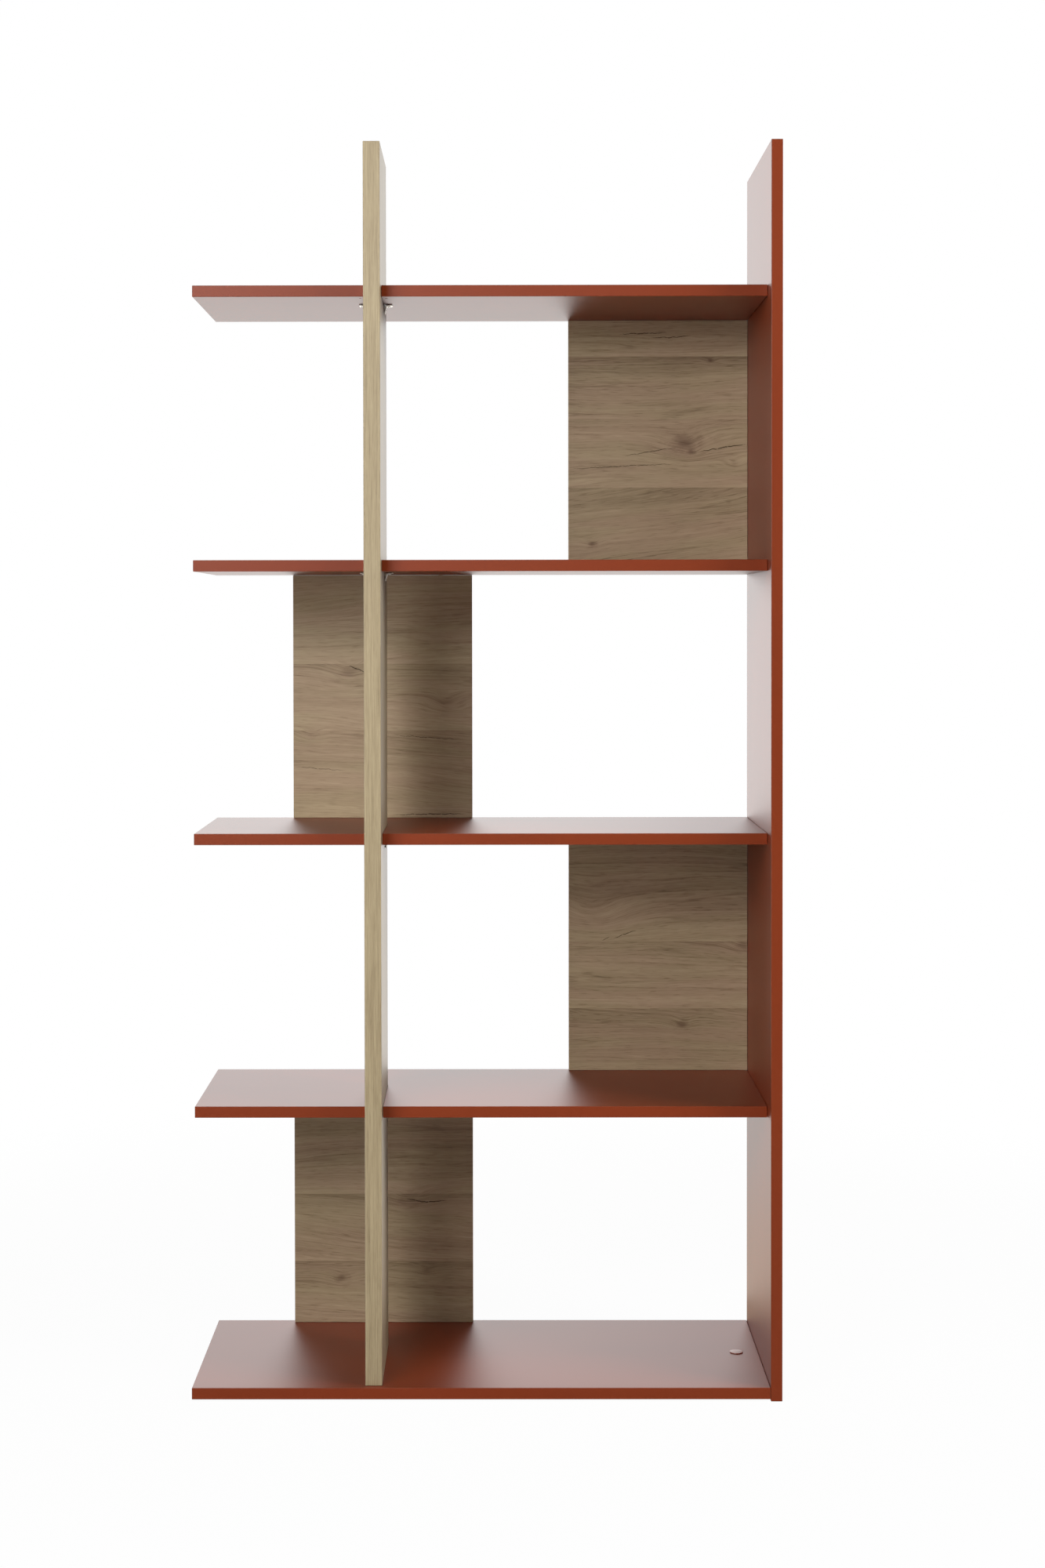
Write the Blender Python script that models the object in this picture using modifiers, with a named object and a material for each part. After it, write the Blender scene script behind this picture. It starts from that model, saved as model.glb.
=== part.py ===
"""Shelving unit: one tall side board, an oak upright, a base and four shelves that run out past it,
and four oak back panels set in turn on the upright and against the side board.

Metres, +Z up, the front faces -Y. The origin is on the floor, under the middle of the unit.
"""

import math

import bmesh
import bpy
from mathutils import Matrix, Vector

# Driving dimensions of the unit
OVERALL_WIDTH = 0.770
OVERALL_DEPTH = 0.300
OVERALL_HEIGHT = 1.640
TOP_RISE = 0.182

# Red boards: the side board, the base board and the shelves
BOARD_THICKNESS = 0.015
SHELF_SETBACK = 0.040
FLOOR_CLEARANCE = 0.003

# Oak upright, and how far its middle stands from the free ends of the shelves
UPRIGHT_THICKNESS = 0.022
UPRIGHT_DEPTH = 0.175
UPRIGHT_SETBACK = 0.008
UPRIGHT_FROM_LEFT = 0.237

# Oak back panels
PANEL_WIDTH = 0.254
PANEL_THICKNESS = 0.012

# Fits
TOUCH_GAP = 0.0003
SIDE_JOINT_GAP = 0.0004
SLOT_CLEARANCE = 0.0005
HOLE_CLEARANCE = 0.0003
EDGE_RADIUS = 0.0007
CUT_OVERRUN = 0.002
WELD_DISTANCE = 0.00002

# Angle brackets under each shelf, on both sides of the upright
BRACKET_LEG = 0.0115
BRACKET_LENGTH = 0.020
BRACKET_THICKNESS = 0.0012
BRACKET_BEND_RADIUS = 0.0030
BRACKET_CORNER_RADIUS = 0.0025
BRACKET_FROM_SHELF_FRONT = 0.075

# Bracket screws, and the spare pilot holes near the front of each shelf
SCREW_RADIUS = 0.0015
SCREW_HEAD_RADIUS = 0.0024
SCREW_HEAD_HEIGHT = 0.0013
SCREW_HEAD_FLAT_SHARE = 0.55
SCREW_HEAD_SHOULDER_SHARE = 0.5
SCREW_TIP_LENGTH = 0.0022
SCREW_TIP_GAP = 0.0015
SCREW_FROM_CORNER = 0.0062
SPARE_HOLE_FROM_FRONT = 0.017

# Cam locks in the ends of the red boards
CAM_RADIUS = 0.0075
CAM_FROM_SIDE = 0.030
CAM_FLOOR = 0.0030
CAM_RECESS_RADIUS = 0.0023
CAM_RECESS_DEPTH = 0.0016
CAM_SLOT_LENGTH = 0.0100
CAM_SLOT_WIDTH = 0.0013

# Cam bolts, from the side board to the cam locks
BOLT_THREAD_RADIUS = 0.0028
BOLT_COLLAR_RADIUS = 0.0036
BOLT_COLLAR_LENGTH = 0.0030
BOLT_SHANK_RADIUS = 0.0025
BOLT_NECK_RADIUS = 0.0016
BOLT_NECK_LENGTH = 0.0040
BOLT_HEAD_RADIUS = 0.0029
BOLT_HEAD_LENGTH = 0.0030
BOLT_COVER = 0.0040

# Cover cap of the base board's cam lock
CAP_RADIUS = 0.0090
CAP_HEIGHT = 0.0014
CAP_RIM_SHARE = 0.45
CAP_CROWN_SHARE = 0.82
CAP_PIN_RADIUS = 0.0018
CAP_PIN_LENGTH = 0.0012

# Wooden dowels
PANEL_DOWEL_RADIUS = 0.0030
PANEL_DOWEL_BITE = 0.0120
PANEL_DOWEL_FROM_EDGE = 0.045
UPRIGHT_DOWEL_RADIUS = 0.0040
UPRIGHT_DOWEL_BITE = 0.0200
UPRIGHT_DOWEL_FROM_EDGE = 0.035
DOWEL_COVER = 0.0060
DOWEL_CHAMFER = 0.0008

# Glides nailed under the base board
GLIDE_RADIUS = 0.0090
GLIDE_FOOT_RADIUS = 0.0075
GLIDE_FROM_EDGE = 0.030
GLIDE_RIM_SHARE = 0.5
GLIDE_NAIL_RADIUS = 0.0010
GLIDE_NAIL_BITE = 0.0080
GLIDE_NAIL_TIP_LENGTH = 0.0015

# Facets
SMALL_SIDES = 12
ROUND_SIDES = 16
CAM_SIDES = 24
CAP_SIDES = 40
BEND_STEPS = 5
EDGE_STEPS = 2

# Places worked out from the sizes above
LEFT_END = -OVERALL_WIDTH / 2
RIGHT_END = OVERALL_WIDTH / 2
FRONT = -OVERALL_DEPTH / 2
REAR = OVERALL_DEPTH / 2
SIDE_INNER = RIGHT_END - BOARD_THICKNESS
BOARD_RIGHT = SIDE_INNER - SIDE_JOINT_GAP
SHELF_FRONT = FRONT + SHELF_SETBACK
BASE_TOP = FLOOR_CLEARANCE + BOARD_THICKNESS
UPRIGHT_X = LEFT_END + UPRIGHT_FROM_LEFT
UPRIGHT_LEFT = UPRIGHT_X - UPRIGHT_THICKNESS / 2
UPRIGHT_RIGHT = UPRIGHT_X + UPRIGHT_THICKNESS / 2
UPRIGHT_FRONT = FRONT + UPRIGHT_SETBACK
UPRIGHT_REAR = UPRIGHT_FRONT + UPRIGHT_DEPTH
PANEL_FRONT = REAR - PANEL_THICKNESS
PANEL_Y = REAR - PANEL_THICKNESS / 2
CAM_X = SIDE_INNER - CAM_FROM_SIDE
BASE_CAM_Y = (FRONT + REAR) / 2
SHELF_CAM_Y = (SHELF_FRONT + REAR) / 2
BRACKET_Y = SHELF_FRONT + BRACKET_FROM_SHELF_FRONT + BRACKET_LENGTH / 2
SPARE_HOLE_Y = SHELF_FRONT + SPARE_HOLE_FROM_FRONT
SCREW_BITE = UPRIGHT_THICKNESS / 2 - SCREW_TIP_GAP
SCREW_LENGTH = SCREW_BITE + BRACKET_THICKNESS + 2 * TOUCH_GAP
SCREW_HOLE_RADIUS = SCREW_RADIUS + HOLE_CLEARANCE
CAM_HEIGHT = BOARD_THICKNESS - CAM_FLOOR
DOWEL_BOARD_BITE = BOARD_THICKNESS - DOWEL_COVER
BOLT_BITE = BOARD_THICKNESS - BOLT_COVER

# Boards from the floor up, which face each cam lock is let into, and where the back panel above stands
LEVELS = ("base", "lower", "middle", "upper", "top")
CAM_ON_TOP = {"base": True, "lower": False, "middle": False, "upper": True, "top": True}
PANEL_SIDES = ("left", "right", "left", "right")
LEVEL_STEP = (OVERALL_HEIGHT - TOP_RISE - BASE_TOP) / len(PANEL_SIDES)

UP = Vector((0, 0, 1))
RIGHT = Vector((1, 0, 0))


def clear_scene():
    for old in list(bpy.data.objects):
        bpy.data.objects.remove(old, do_unlink=True)


def new_collection(name):
    collection = bpy.data.collections.new(name)
    bpy.context.scene.collection.children.link(collection)
    return collection


def principled(name, colour, roughness, metallic):
    material = bpy.data.materials.new(name)
    material.use_nodes = True
    shader = material.node_tree.nodes["Principled BSDF"]
    shader.inputs["Base Color"].default_value = (*colour, 1)
    shader.inputs["Roughness"].default_value = roughness
    shader.inputs["Metallic"].default_value = metallic
    return material


def terracotta_finish():
    """Satin red-brown facing of the side board, base board and shelves."""
    return principled("terracotta_facing", (0.30, 0.065, 0.030), 0.32, 0.0)


def oak_finish():
    """Pale oak facing of the upright and the back panels."""
    return principled("oak_facing", (0.42, 0.33, 0.21), 0.5, 0.0)


def bright_steel_finish():
    """Zinc-plated steel of the brackets, screws and bolts."""
    return principled("bright_steel", (0.72, 0.72, 0.70), 0.28, 1.0)


def cast_zinc_finish():
    """Grey die-cast zinc of the cam locks."""
    return principled("cast_zinc", (0.48, 0.48, 0.49), 0.45, 1.0)


def beech_finish():
    """Plain beech of the dowels."""
    return principled("beech", (0.60, 0.42, 0.25), 0.65, 0.0)


def red_plastic_finish():
    """Moulded cover cap, coloured to match the red boards."""
    return principled("red_plastic", (0.32, 0.085, 0.045), 0.38, 0.0)


def white_plastic_finish():
    """Moulded glides."""
    return principled("white_plastic", (0.80, 0.80, 0.78), 0.45, 0.0)


def level_top(index):
    """Height of the top face of a board, counted from the base board up."""
    return BASE_TOP + index * LEVEL_STEP


def level_underside(index):
    return level_top(index) - BOARD_THICKNESS


def level_middle(index):
    return level_top(index) - BOARD_THICKNESS / 2


def box_mesh(name, size):
    """A closed box of this size about its own centre."""
    shape = bmesh.new()
    bmesh.ops.create_cube(shape, size=1, matrix=Matrix.Diagonal((*size, 1)))
    mesh = bpy.data.meshes.new(name)
    shape.to_mesh(mesh)
    shape.free()
    return mesh


def add_object(name, mesh, location, collection, parent=None):
    thing = bpy.data.objects.new(name, mesh)
    thing.location = location
    thing.parent = parent
    collection.objects.link(thing)
    return thing


def add_board(name, low, high, material, build):
    """A flat board between two corners, with its edges eased."""
    low = Vector(low)
    high = Vector(high)
    board = add_object(name, box_mesh(name, high - low), (low + high) / 2, build.parts, build.root)
    board.data.materials.append(material)
    easing = board.modifiers.new("eased_edges", "BEVEL")
    easing.width = EDGE_RADIUS
    easing.segments = EDGE_STEPS
    return board


def turned_mesh(name, profile, sides):
    """A solid turned about Z from (radius, height) points that run down its outer side."""
    mesh = bpy.data.meshes.new(name)
    points = [(radius, 0, height) for radius, height in profile]
    mesh.from_pydata(points, [(i, i + 1) for i in range(len(points) - 1)], [])
    guide = bpy.data.objects.new(name + "_profile", mesh)
    bpy.context.scene.collection.objects.link(guide)
    turning = guide.modifiers.new("turning", "SCREW")
    turning.steps = sides
    turning.render_steps = sides
    turning.use_merge_vertices = True
    turning.merge_threshold = WELD_DISTANCE
    bpy.context.view_layer.update()
    graph = bpy.context.evaluated_depsgraph_get()
    solid = bpy.data.meshes.new_from_object(guide.evaluated_get(graph))
    solid.name = name
    bpy.data.objects.remove(guide, do_unlink=True)
    bpy.data.meshes.remove(mesh)
    solid.shade_smooth()
    solid.set_sharp_from_angle(angle=math.radians(35))
    return solid


def add_turned(name, mesh, location, direction, material, build):
    """Places a turned piece with its local +Z along a direction."""
    piece = add_object(name, mesh, location, build.parts, build.root)
    piece.rotation_euler = UP.rotation_difference(Vector(direction)).to_euler()
    if not mesh.materials:
        mesh.materials.append(material)
    return piece


def add_cutter(name, shapes, build):
    """One cutter of separate boxes and cylinders.

    A box is its two corners. A cylinder is its start, direction, length, radius and number of sides.
    """
    shape = bmesh.new()
    for kind, values in shapes:
        if kind == "box":
            low, high = (Vector(corner) for corner in values)
            place = Matrix.Translation((low + high) / 2) @ Matrix.Diagonal((*(high - low), 1))
            bmesh.ops.create_cube(shape, size=1, matrix=place)
            continue
        start, direction, length, radius, sides = values
        direction = Vector(direction).normalized()
        turn = UP.rotation_difference(direction).to_matrix().to_4x4()
        place = Matrix.Translation(Vector(start) + direction * length / 2) @ turn
        size = {"radius1": radius, "radius2": radius, "depth": length}
        bmesh.ops.create_cone(shape, cap_ends=True, segments=sides, matrix=place, **size)
    mesh = bpy.data.meshes.new(name)
    shape.to_mesh(mesh)
    shape.free()
    cutter = add_object(name, mesh, (0, 0, 0), build.cutters)
    cutter.hide_render = True
    cutter.display_type = "WIRE"
    return cutter


def cut(piece, name, shapes, build):
    """Removes the shapes from a piece."""
    cutting = piece.modifiers.new(name, "BOOLEAN")
    cutting.operation = "DIFFERENCE"
    cutting.solver = "EXACT"
    cutting.object = add_cutter(piece.name + "_" + name, shapes, build)


def hole(mouth, direction, depth, radius, sides):
    """A blind hole from a mouth on a face, with its cutter started outside the face."""
    inward = Vector(direction).normalized()
    start = Vector(mouth) - inward * CUT_OVERRUN
    return ("cylinder", (start, inward, depth + CUT_OVERRUN, radius, sides))


class Build:
    """The collections, the parent empty and the finishes that every piece uses."""

    def __init__(self):
        self.parts = new_collection("shelving_unit")
        self.cutters = new_collection("shelving_unit_cutters")
        self.root = bpy.data.objects.new("shelving_unit_origin", None)
        self.parts.objects.link(self.root)
        self.terracotta = terracotta_finish()
        self.oak = oak_finish()
        self.steel = bright_steel_finish()
        self.zinc = cast_zinc_finish()
        self.beech = beech_finish()
        self.red_plastic = red_plastic_finish()
        self.white_plastic = white_plastic_finish()


def cam_y(index):
    return BASE_CAM_Y if index == 0 else SHELF_CAM_Y


def cam_face(index):
    """The height of the face that a board's cam lock is let into, and the way that face looks."""
    if CAM_ON_TOP[LEVELS[index]]:
        return level_top(index), UP
    return level_underside(index), -UP


def panel_span(index):
    """The left and right faces of the back panel that stands on a board."""
    if PANEL_SIDES[index] == "left":
        return UPRIGHT_X - PANEL_WIDTH / 2, UPRIGHT_X + PANEL_WIDTH / 2
    return BOARD_RIGHT - PANEL_WIDTH, BOARD_RIGHT


def panel_dowel_x(index):
    """The places of the bottom and top dowels of a back panel, near opposite corners."""
    left, right = panel_span(index)
    return left + PANEL_DOWEL_FROM_EDGE, right - PANEL_DOWEL_FROM_EDGE


def upright_dowel_ys():
    return UPRIGHT_FRONT + UPRIGHT_DOWEL_FROM_EDGE, UPRIGHT_REAR - UPRIGHT_DOWEL_FROM_EDGE


def glide_places():
    """Under both corners of the free end, and under the upright."""
    depths = (("front", FRONT + GLIDE_FROM_EDGE), ("rear", REAR - GLIDE_FROM_EDGE))
    widths = (("left", LEFT_END + GLIDE_FROM_EDGE), ("middle", UPRIGHT_X))
    return [(across + "_" + along, x, y) for across, x in widths for along, y in depths]


def cam_holes(index):
    """The round pocket for the cam lock, and the bore from the board's end for its bolt."""
    y = cam_y(index)
    face, outward = cam_face(index)
    pocket_radius = CAM_RADIUS + HOLE_CLEARANCE
    pocket = hole((CAM_X, y, face), -outward, CAM_HEIGHT + TOUCH_GAP, pocket_radius, CAM_SIDES)
    bore_radius = BOLT_COLLAR_RADIUS + HOLE_CLEARANCE
    mouth = (BOARD_RIGHT, y, level_middle(index))
    bore = hole(mouth, -RIGHT, BOARD_RIGHT - CAM_X, bore_radius, ROUND_SIDES)
    return pocket, bore


def panel_dowel_holes(index):
    """Holes in one board for the dowels of the panel on it and of the panel below it."""
    radius = PANEL_DOWEL_RADIUS + HOLE_CLEARANCE
    depth = DOWEL_BOARD_BITE + TOUCH_GAP
    holes = []
    if index < len(PANEL_SIDES):
        x = panel_dowel_x(index)[0]
        holes.append(hole((x, PANEL_Y, level_top(index)), -UP, depth, radius, SMALL_SIDES))
    if index > 0:
        x = panel_dowel_x(index - 1)[1]
        holes.append(hole((x, PANEL_Y, level_underside(index)), UP, depth, radius, SMALL_SIDES))
    return holes


def add_side_board(build):
    high = (RIGHT_END, REAR, OVERALL_HEIGHT)
    side = add_board("side_board", (SIDE_INNER, FRONT, 0), high, build.terracotta, build)
    radius = BOLT_THREAD_RADIUS + HOLE_CLEARANCE
    holes = []
    for index in range(len(LEVELS)):
        mouth = (SIDE_INNER, cam_y(index), level_middle(index))
        holes.append(hole(mouth, RIGHT, BOLT_BITE + TOUCH_GAP, radius, ROUND_SIDES))
    cut(side, "bolt_holes", holes, build)


def add_base_board(build):
    low = (LEFT_END, FRONT, FLOOR_CLEARANCE)
    high = (BOARD_RIGHT, REAR, BASE_TOP)
    base = add_board("base_board", low, high, build.terracotta, build)
    pocket, bore = cam_holes(0)
    holes = [pocket, *panel_dowel_holes(0)]
    for y in upright_dowel_ys():
        radius = UPRIGHT_DOWEL_RADIUS + HOLE_CLEARANCE
        depth = DOWEL_BOARD_BITE + TOUCH_GAP
        holes.append(hole((UPRIGHT_X, y, BASE_TOP), -UP, depth, radius, ROUND_SIDES))
    for _, x, y in glide_places():
        radius = GLIDE_NAIL_RADIUS + HOLE_CLEARANCE
        holes.append(hole((x, y, FLOOR_CLEARANCE), UP, GLIDE_NAIL_BITE + TOUCH_GAP, radius, SMALL_SIDES))
    cut(base, "drilling", holes, build)
    cut(base, "bolt_bore", [bore], build)


def add_shelf(index, build):
    """A shelf, slotted from its front edge for the upright and drilled for its fixings."""
    top = level_top(index)
    underside = level_underside(index)
    low = (LEFT_END, SHELF_FRONT, underside)
    high = (BOARD_RIGHT, REAR, top)
    shelf = add_board(LEVELS[index] + "_shelf", low, high, build.terracotta, build)
    slot_low = (UPRIGHT_LEFT - SLOT_CLEARANCE, SHELF_FRONT - CUT_OVERRUN, underside - CUT_OVERRUN)
    slot_high = (UPRIGHT_RIGHT + SLOT_CLEARANCE, UPRIGHT_REAR + SLOT_CLEARANCE, top + CUT_OVERRUN)
    pocket, bore = cam_holes(index)
    shapes = [("box", (slot_low, slot_high)), pocket, *panel_dowel_holes(index)]
    for x in (UPRIGHT_LEFT - SCREW_FROM_CORNER, UPRIGHT_RIGHT + SCREW_FROM_CORNER):
        for y in (SPARE_HOLE_Y, BRACKET_Y):
            depth = SCREW_BITE + TOUCH_GAP
            shapes.append(hole((x, y, underside), UP, depth, SCREW_HOLE_RADIUS, SMALL_SIDES))
    cut(shelf, "slot_and_drilling", shapes, build)
    cut(shelf, "bolt_bore", [bore], build)


def add_upright(build):
    foot = BASE_TOP + TOUCH_GAP
    low = (UPRIGHT_LEFT, UPRIGHT_FRONT, foot)
    high = (UPRIGHT_RIGHT, UPRIGHT_REAR, OVERALL_HEIGHT)
    upright = add_board("upright", low, high, build.oak, build)
    holes = []
    for index in range(1, len(LEVELS)):
        z = level_underside(index) - SCREW_FROM_CORNER
        depth = SCREW_BITE + TOUCH_GAP
        holes.append(hole((UPRIGHT_LEFT, BRACKET_Y, z), RIGHT, depth, SCREW_HOLE_RADIUS, SMALL_SIDES))
        holes.append(hole((UPRIGHT_RIGHT, BRACKET_Y, z), -RIGHT, depth, SCREW_HOLE_RADIUS, SMALL_SIDES))
    for y in upright_dowel_ys():
        radius = UPRIGHT_DOWEL_RADIUS + HOLE_CLEARANCE
        holes.append(hole((UPRIGHT_X, y, foot), UP, UPRIGHT_DOWEL_BITE, radius, ROUND_SIDES))
    cut(upright, "drilling", holes, build)


def add_back_panel(index, build):
    """A back panel that stands on one board and reaches to the next."""
    left, right = panel_span(index)
    low = level_top(index) + TOUCH_GAP
    high = level_underside(index + 1) - TOUCH_GAP
    name = "back_panel_bay_" + str(index + 1)
    panel = add_board(name, (left, PANEL_FRONT, low), (right, REAR, high), build.oak, build)
    bottom_x, top_x = panel_dowel_x(index)
    radius = PANEL_DOWEL_RADIUS + HOLE_CLEARANCE
    holes = [
        hole((bottom_x, PANEL_Y, low), UP, PANEL_DOWEL_BITE, radius, SMALL_SIDES),
        hole((top_x, PANEL_Y, high), -UP, PANEL_DOWEL_BITE, radius, SMALL_SIDES),
    ]
    cut(panel, "dowel_holes", holes, build)


def bracket_mesh():
    """An open strip bent round a rounded corner, with its four outer corners rounded.

    Its origin is the corner between shelf and upright: one leg runs along +X, the other down.
    """
    centre = TOUCH_GAP + BRACKET_BEND_RADIUS
    path = [(TOUCH_GAP, -BRACKET_LEG)]
    for step in range(BEND_STEPS + 1):
        angle = math.pi / 2 * step / BEND_STEPS
        x = centre - BRACKET_BEND_RADIUS * math.cos(angle)
        z = -centre + BRACKET_BEND_RADIUS * math.sin(angle)
        path.append((x, z))
    path.append((BRACKET_LEG, -TOUCH_GAP))
    half = BRACKET_LENGTH / 2
    strip = bmesh.new()
    rows = [[strip.verts.new((x, y, z)) for x, z in path] for y in (-half, half)]
    for i in range(len(path) - 1):
        strip.faces.new((rows[0][i], rows[0][i + 1], rows[1][i + 1], rows[1][i]))
    corners = [row[end] for row in rows for end in (0, -1)]
    bmesh.ops.bevel(
        strip, geom=corners, offset=BRACKET_CORNER_RADIUS, segments=2, profile=0.5, affect="VERTICES"
    )
    mesh = bpy.data.meshes.new("angle_bracket")
    strip.to_mesh(mesh)
    strip.free()
    return mesh


def add_bracket(name, mesh, corner, turn, build):
    """A bracket at the corner of a shelf and the upright. A turn of half a circle faces it left."""
    bracket = add_object(name, mesh, corner, build.parts, build.root)
    bracket.rotation_euler = (0, 0, turn)
    wall = bracket.modifiers.new("sheet", "SOLIDIFY")
    wall.thickness = BRACKET_THICKNESS
    wall.offset = -1
    side = Vector((math.cos(turn), 0, 0))
    across = Vector(corner) + side * SCREW_FROM_CORNER
    below = Vector(corner) - UP * SCREW_FROM_CORNER
    reach = BRACKET_THICKNESS + 2 * TOUCH_GAP
    cut(bracket, "shelf_hole", [hole(across, -UP, reach, SCREW_HOLE_RADIUS, SMALL_SIDES)], build)
    cut(bracket, "upright_hole", [hole(below, side, reach, SCREW_HOLE_RADIUS, SMALL_SIDES)], build)


def screw_mesh():
    """A pan-head screw with its head's seat at the origin and its shank down."""
    profile = [
        (0, SCREW_HEAD_HEIGHT),
        (SCREW_HEAD_RADIUS * SCREW_HEAD_FLAT_SHARE, SCREW_HEAD_HEIGHT),
        (SCREW_HEAD_RADIUS, SCREW_HEAD_HEIGHT * SCREW_HEAD_SHOULDER_SHARE),
        (SCREW_HEAD_RADIUS, 0),
        (SCREW_RADIUS, 0),
        (SCREW_RADIUS, SCREW_TIP_LENGTH - SCREW_LENGTH),
        (0, -SCREW_LENGTH),
    ]
    return turned_mesh("bracket_screw", profile, SMALL_SIDES)


def add_brackets(build):
    """Two brackets and their four screws under each shelf."""
    sheet = bracket_mesh()
    sheet.materials.append(build.steel)
    screw = screw_mesh()
    seat = BRACKET_THICKNESS + 2 * TOUCH_GAP
    for index in range(1, len(LEVELS)):
        level = LEVELS[index]
        z = level_underside(index)
        for hand, x, outward in (("left", UPRIGHT_LEFT, -RIGHT), ("right", UPRIGHT_RIGHT, RIGHT)):
            corner = Vector((x, BRACKET_Y, z))
            turn = 0 if hand == "right" else math.pi
            add_bracket("{}_bracket_{}".format(level, hand), sheet, corner, turn, build)
            into_shelf = corner + outward * SCREW_FROM_CORNER - UP * seat
            into_upright = corner - UP * SCREW_FROM_CORNER + outward * seat
            shelf_name = "{}_bracket_{}_shelf_screw".format(level, hand)
            upright_name = "{}_bracket_{}_upright_screw".format(level, hand)
            add_turned(shelf_name, screw, into_shelf, -UP, build.steel, build)
            add_turned(upright_name, screw, into_upright, outward, build.steel, build)


def cam_mesh():
    profile = [(0, 0), (CAM_RADIUS, 0), (CAM_RADIUS, -CAM_HEIGHT), (0, -CAM_HEIGHT)]
    return turned_mesh("cam_lock", profile, CAM_SIDES)


def bolt_mesh():
    """A cam bolt along its own Z: thread, collar at the side board's face, shank, neck and head."""
    head_end = CAM_FROM_SIDE + BOLT_HEAD_LENGTH / 2
    head_start = head_end - BOLT_HEAD_LENGTH
    neck_start = head_start - BOLT_NECK_LENGTH
    collar_start = TOUCH_GAP
    collar_end = collar_start + BOLT_COLLAR_LENGTH
    profile = [
        (0, head_end),
        (BOLT_HEAD_RADIUS, head_end),
        (BOLT_HEAD_RADIUS, head_start),
        (BOLT_NECK_RADIUS, head_start),
        (BOLT_NECK_RADIUS, neck_start),
        (BOLT_SHANK_RADIUS, neck_start),
        (BOLT_SHANK_RADIUS, collar_end),
        (BOLT_COLLAR_RADIUS, collar_end),
        (BOLT_COLLAR_RADIUS, collar_start),
        (BOLT_THREAD_RADIUS, collar_start),
        (BOLT_THREAD_RADIUS, -BOLT_BITE),
        (0, -BOLT_BITE),
    ]
    return turned_mesh("cam_bolt", profile, ROUND_SIDES)


def add_cam_fixing(index, cam, bolt, build):
    """The cam lock in a board's end, open towards its bolt, and the bolt in the side board."""
    level = LEVELS[index]
    y = cam_y(index)
    middle = level_middle(index)
    face, outward = cam_face(index)
    lock = add_turned(level + "_cam_lock", cam, (CAM_X, y, face), outward, build.zinc, build)
    recess = hole((CAM_X, y, face), -outward, CAM_RECESS_DEPTH, CAM_RECESS_RADIUS, SMALL_SIDES)
    cut(lock, "key_recess", [recess], build)
    half_length = CAM_SLOT_LENGTH / 2
    half_width = CAM_SLOT_WIDTH / 2
    bottom = face - CAM_RECESS_DEPTH * outward.z
    mouth = face + CUT_OVERRUN * outward.z
    low = (CAM_X - half_length, y - half_width, min(bottom, mouth))
    high = (CAM_X + half_length, y + half_width, max(bottom, mouth))
    cut(lock, "key_slot", [("box", (low, high))], build)
    half_catch = BOLT_HEAD_RADIUS + 2 * HOLE_CLEARANCE
    catch_end = CAM_X - BOLT_HEAD_LENGTH / 2 - 2 * HOLE_CLEARANCE
    catch_low = (catch_end, y - half_catch, middle - half_catch)
    catch_high = (CAM_X + CAM_RADIUS + CUT_OVERRUN, y + half_catch, middle + half_catch)
    cut(lock, "bolt_catch", [("box", (catch_low, catch_high))], build)
    add_turned(level + "_cam_bolt", bolt, (SIDE_INNER, y, middle), -RIGHT, build.steel, build)


def add_cam_fixings(build):
    cam = cam_mesh()
    bolt = bolt_mesh()
    for index in range(len(LEVELS)):
        add_cam_fixing(index, cam, bolt, build)


def add_cover_cap(build):
    """A low domed cap over the base board's cam lock, with a pin in its key recess."""
    profile = [
        (0, CAP_HEIGHT),
        (CAP_RADIUS * CAP_CROWN_SHARE, CAP_HEIGHT),
        (CAP_RADIUS, CAP_HEIGHT * CAP_RIM_SHARE),
        (CAP_RADIUS, 0),
        (CAP_PIN_RADIUS, 0),
        (CAP_PIN_RADIUS, -CAP_PIN_LENGTH),
        (0, -CAP_PIN_LENGTH),
    ]
    mesh = turned_mesh("cam_cover_cap", profile, CAP_SIDES)
    seat = (CAM_X, BASE_CAM_Y, BASE_TOP + TOUCH_GAP)
    add_turned("cam_cover_cap", mesh, seat, UP, build.red_plastic, build)


def dowel_mesh(name, radius, below, above, sides):
    """A dowel with chamfered ends, its origin where the two pieces meet."""
    narrow = radius - DOWEL_CHAMFER
    profile = [
        (0, above),
        (narrow, above),
        (radius, above - DOWEL_CHAMFER),
        (radius, DOWEL_CHAMFER - below),
        (narrow, -below),
        (0, -below),
    ]
    return turned_mesh(name, profile, sides)


def add_dowels(build):
    """Dowels in the back panels' edges, and under the foot of the upright."""
    panel_dowel = dowel_mesh(
        "panel_dowel", PANEL_DOWEL_RADIUS, DOWEL_BOARD_BITE, PANEL_DOWEL_BITE, SMALL_SIDES
    )
    for index in range(len(PANEL_SIDES)):
        name = "back_panel_bay_" + str(index + 1)
        bottom_x, top_x = panel_dowel_x(index)
        bottom = (bottom_x, PANEL_Y, level_top(index))
        top = (top_x, PANEL_Y, level_underside(index + 1))
        add_turned(name + "_bottom_dowel", panel_dowel, bottom, UP, build.beech, build)
        add_turned(name + "_top_dowel", panel_dowel, top, -UP, build.beech, build)
    foot_dowel = dowel_mesh(
        "upright_dowel", UPRIGHT_DOWEL_RADIUS, DOWEL_BOARD_BITE, UPRIGHT_DOWEL_BITE, ROUND_SIDES
    )
    for along, y in zip(("front", "rear"), upright_dowel_ys()):
        place = (UPRIGHT_X, y, BASE_TOP)
        add_turned("upright_dowel_" + along, foot_dowel, place, UP, build.beech, build)


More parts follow.
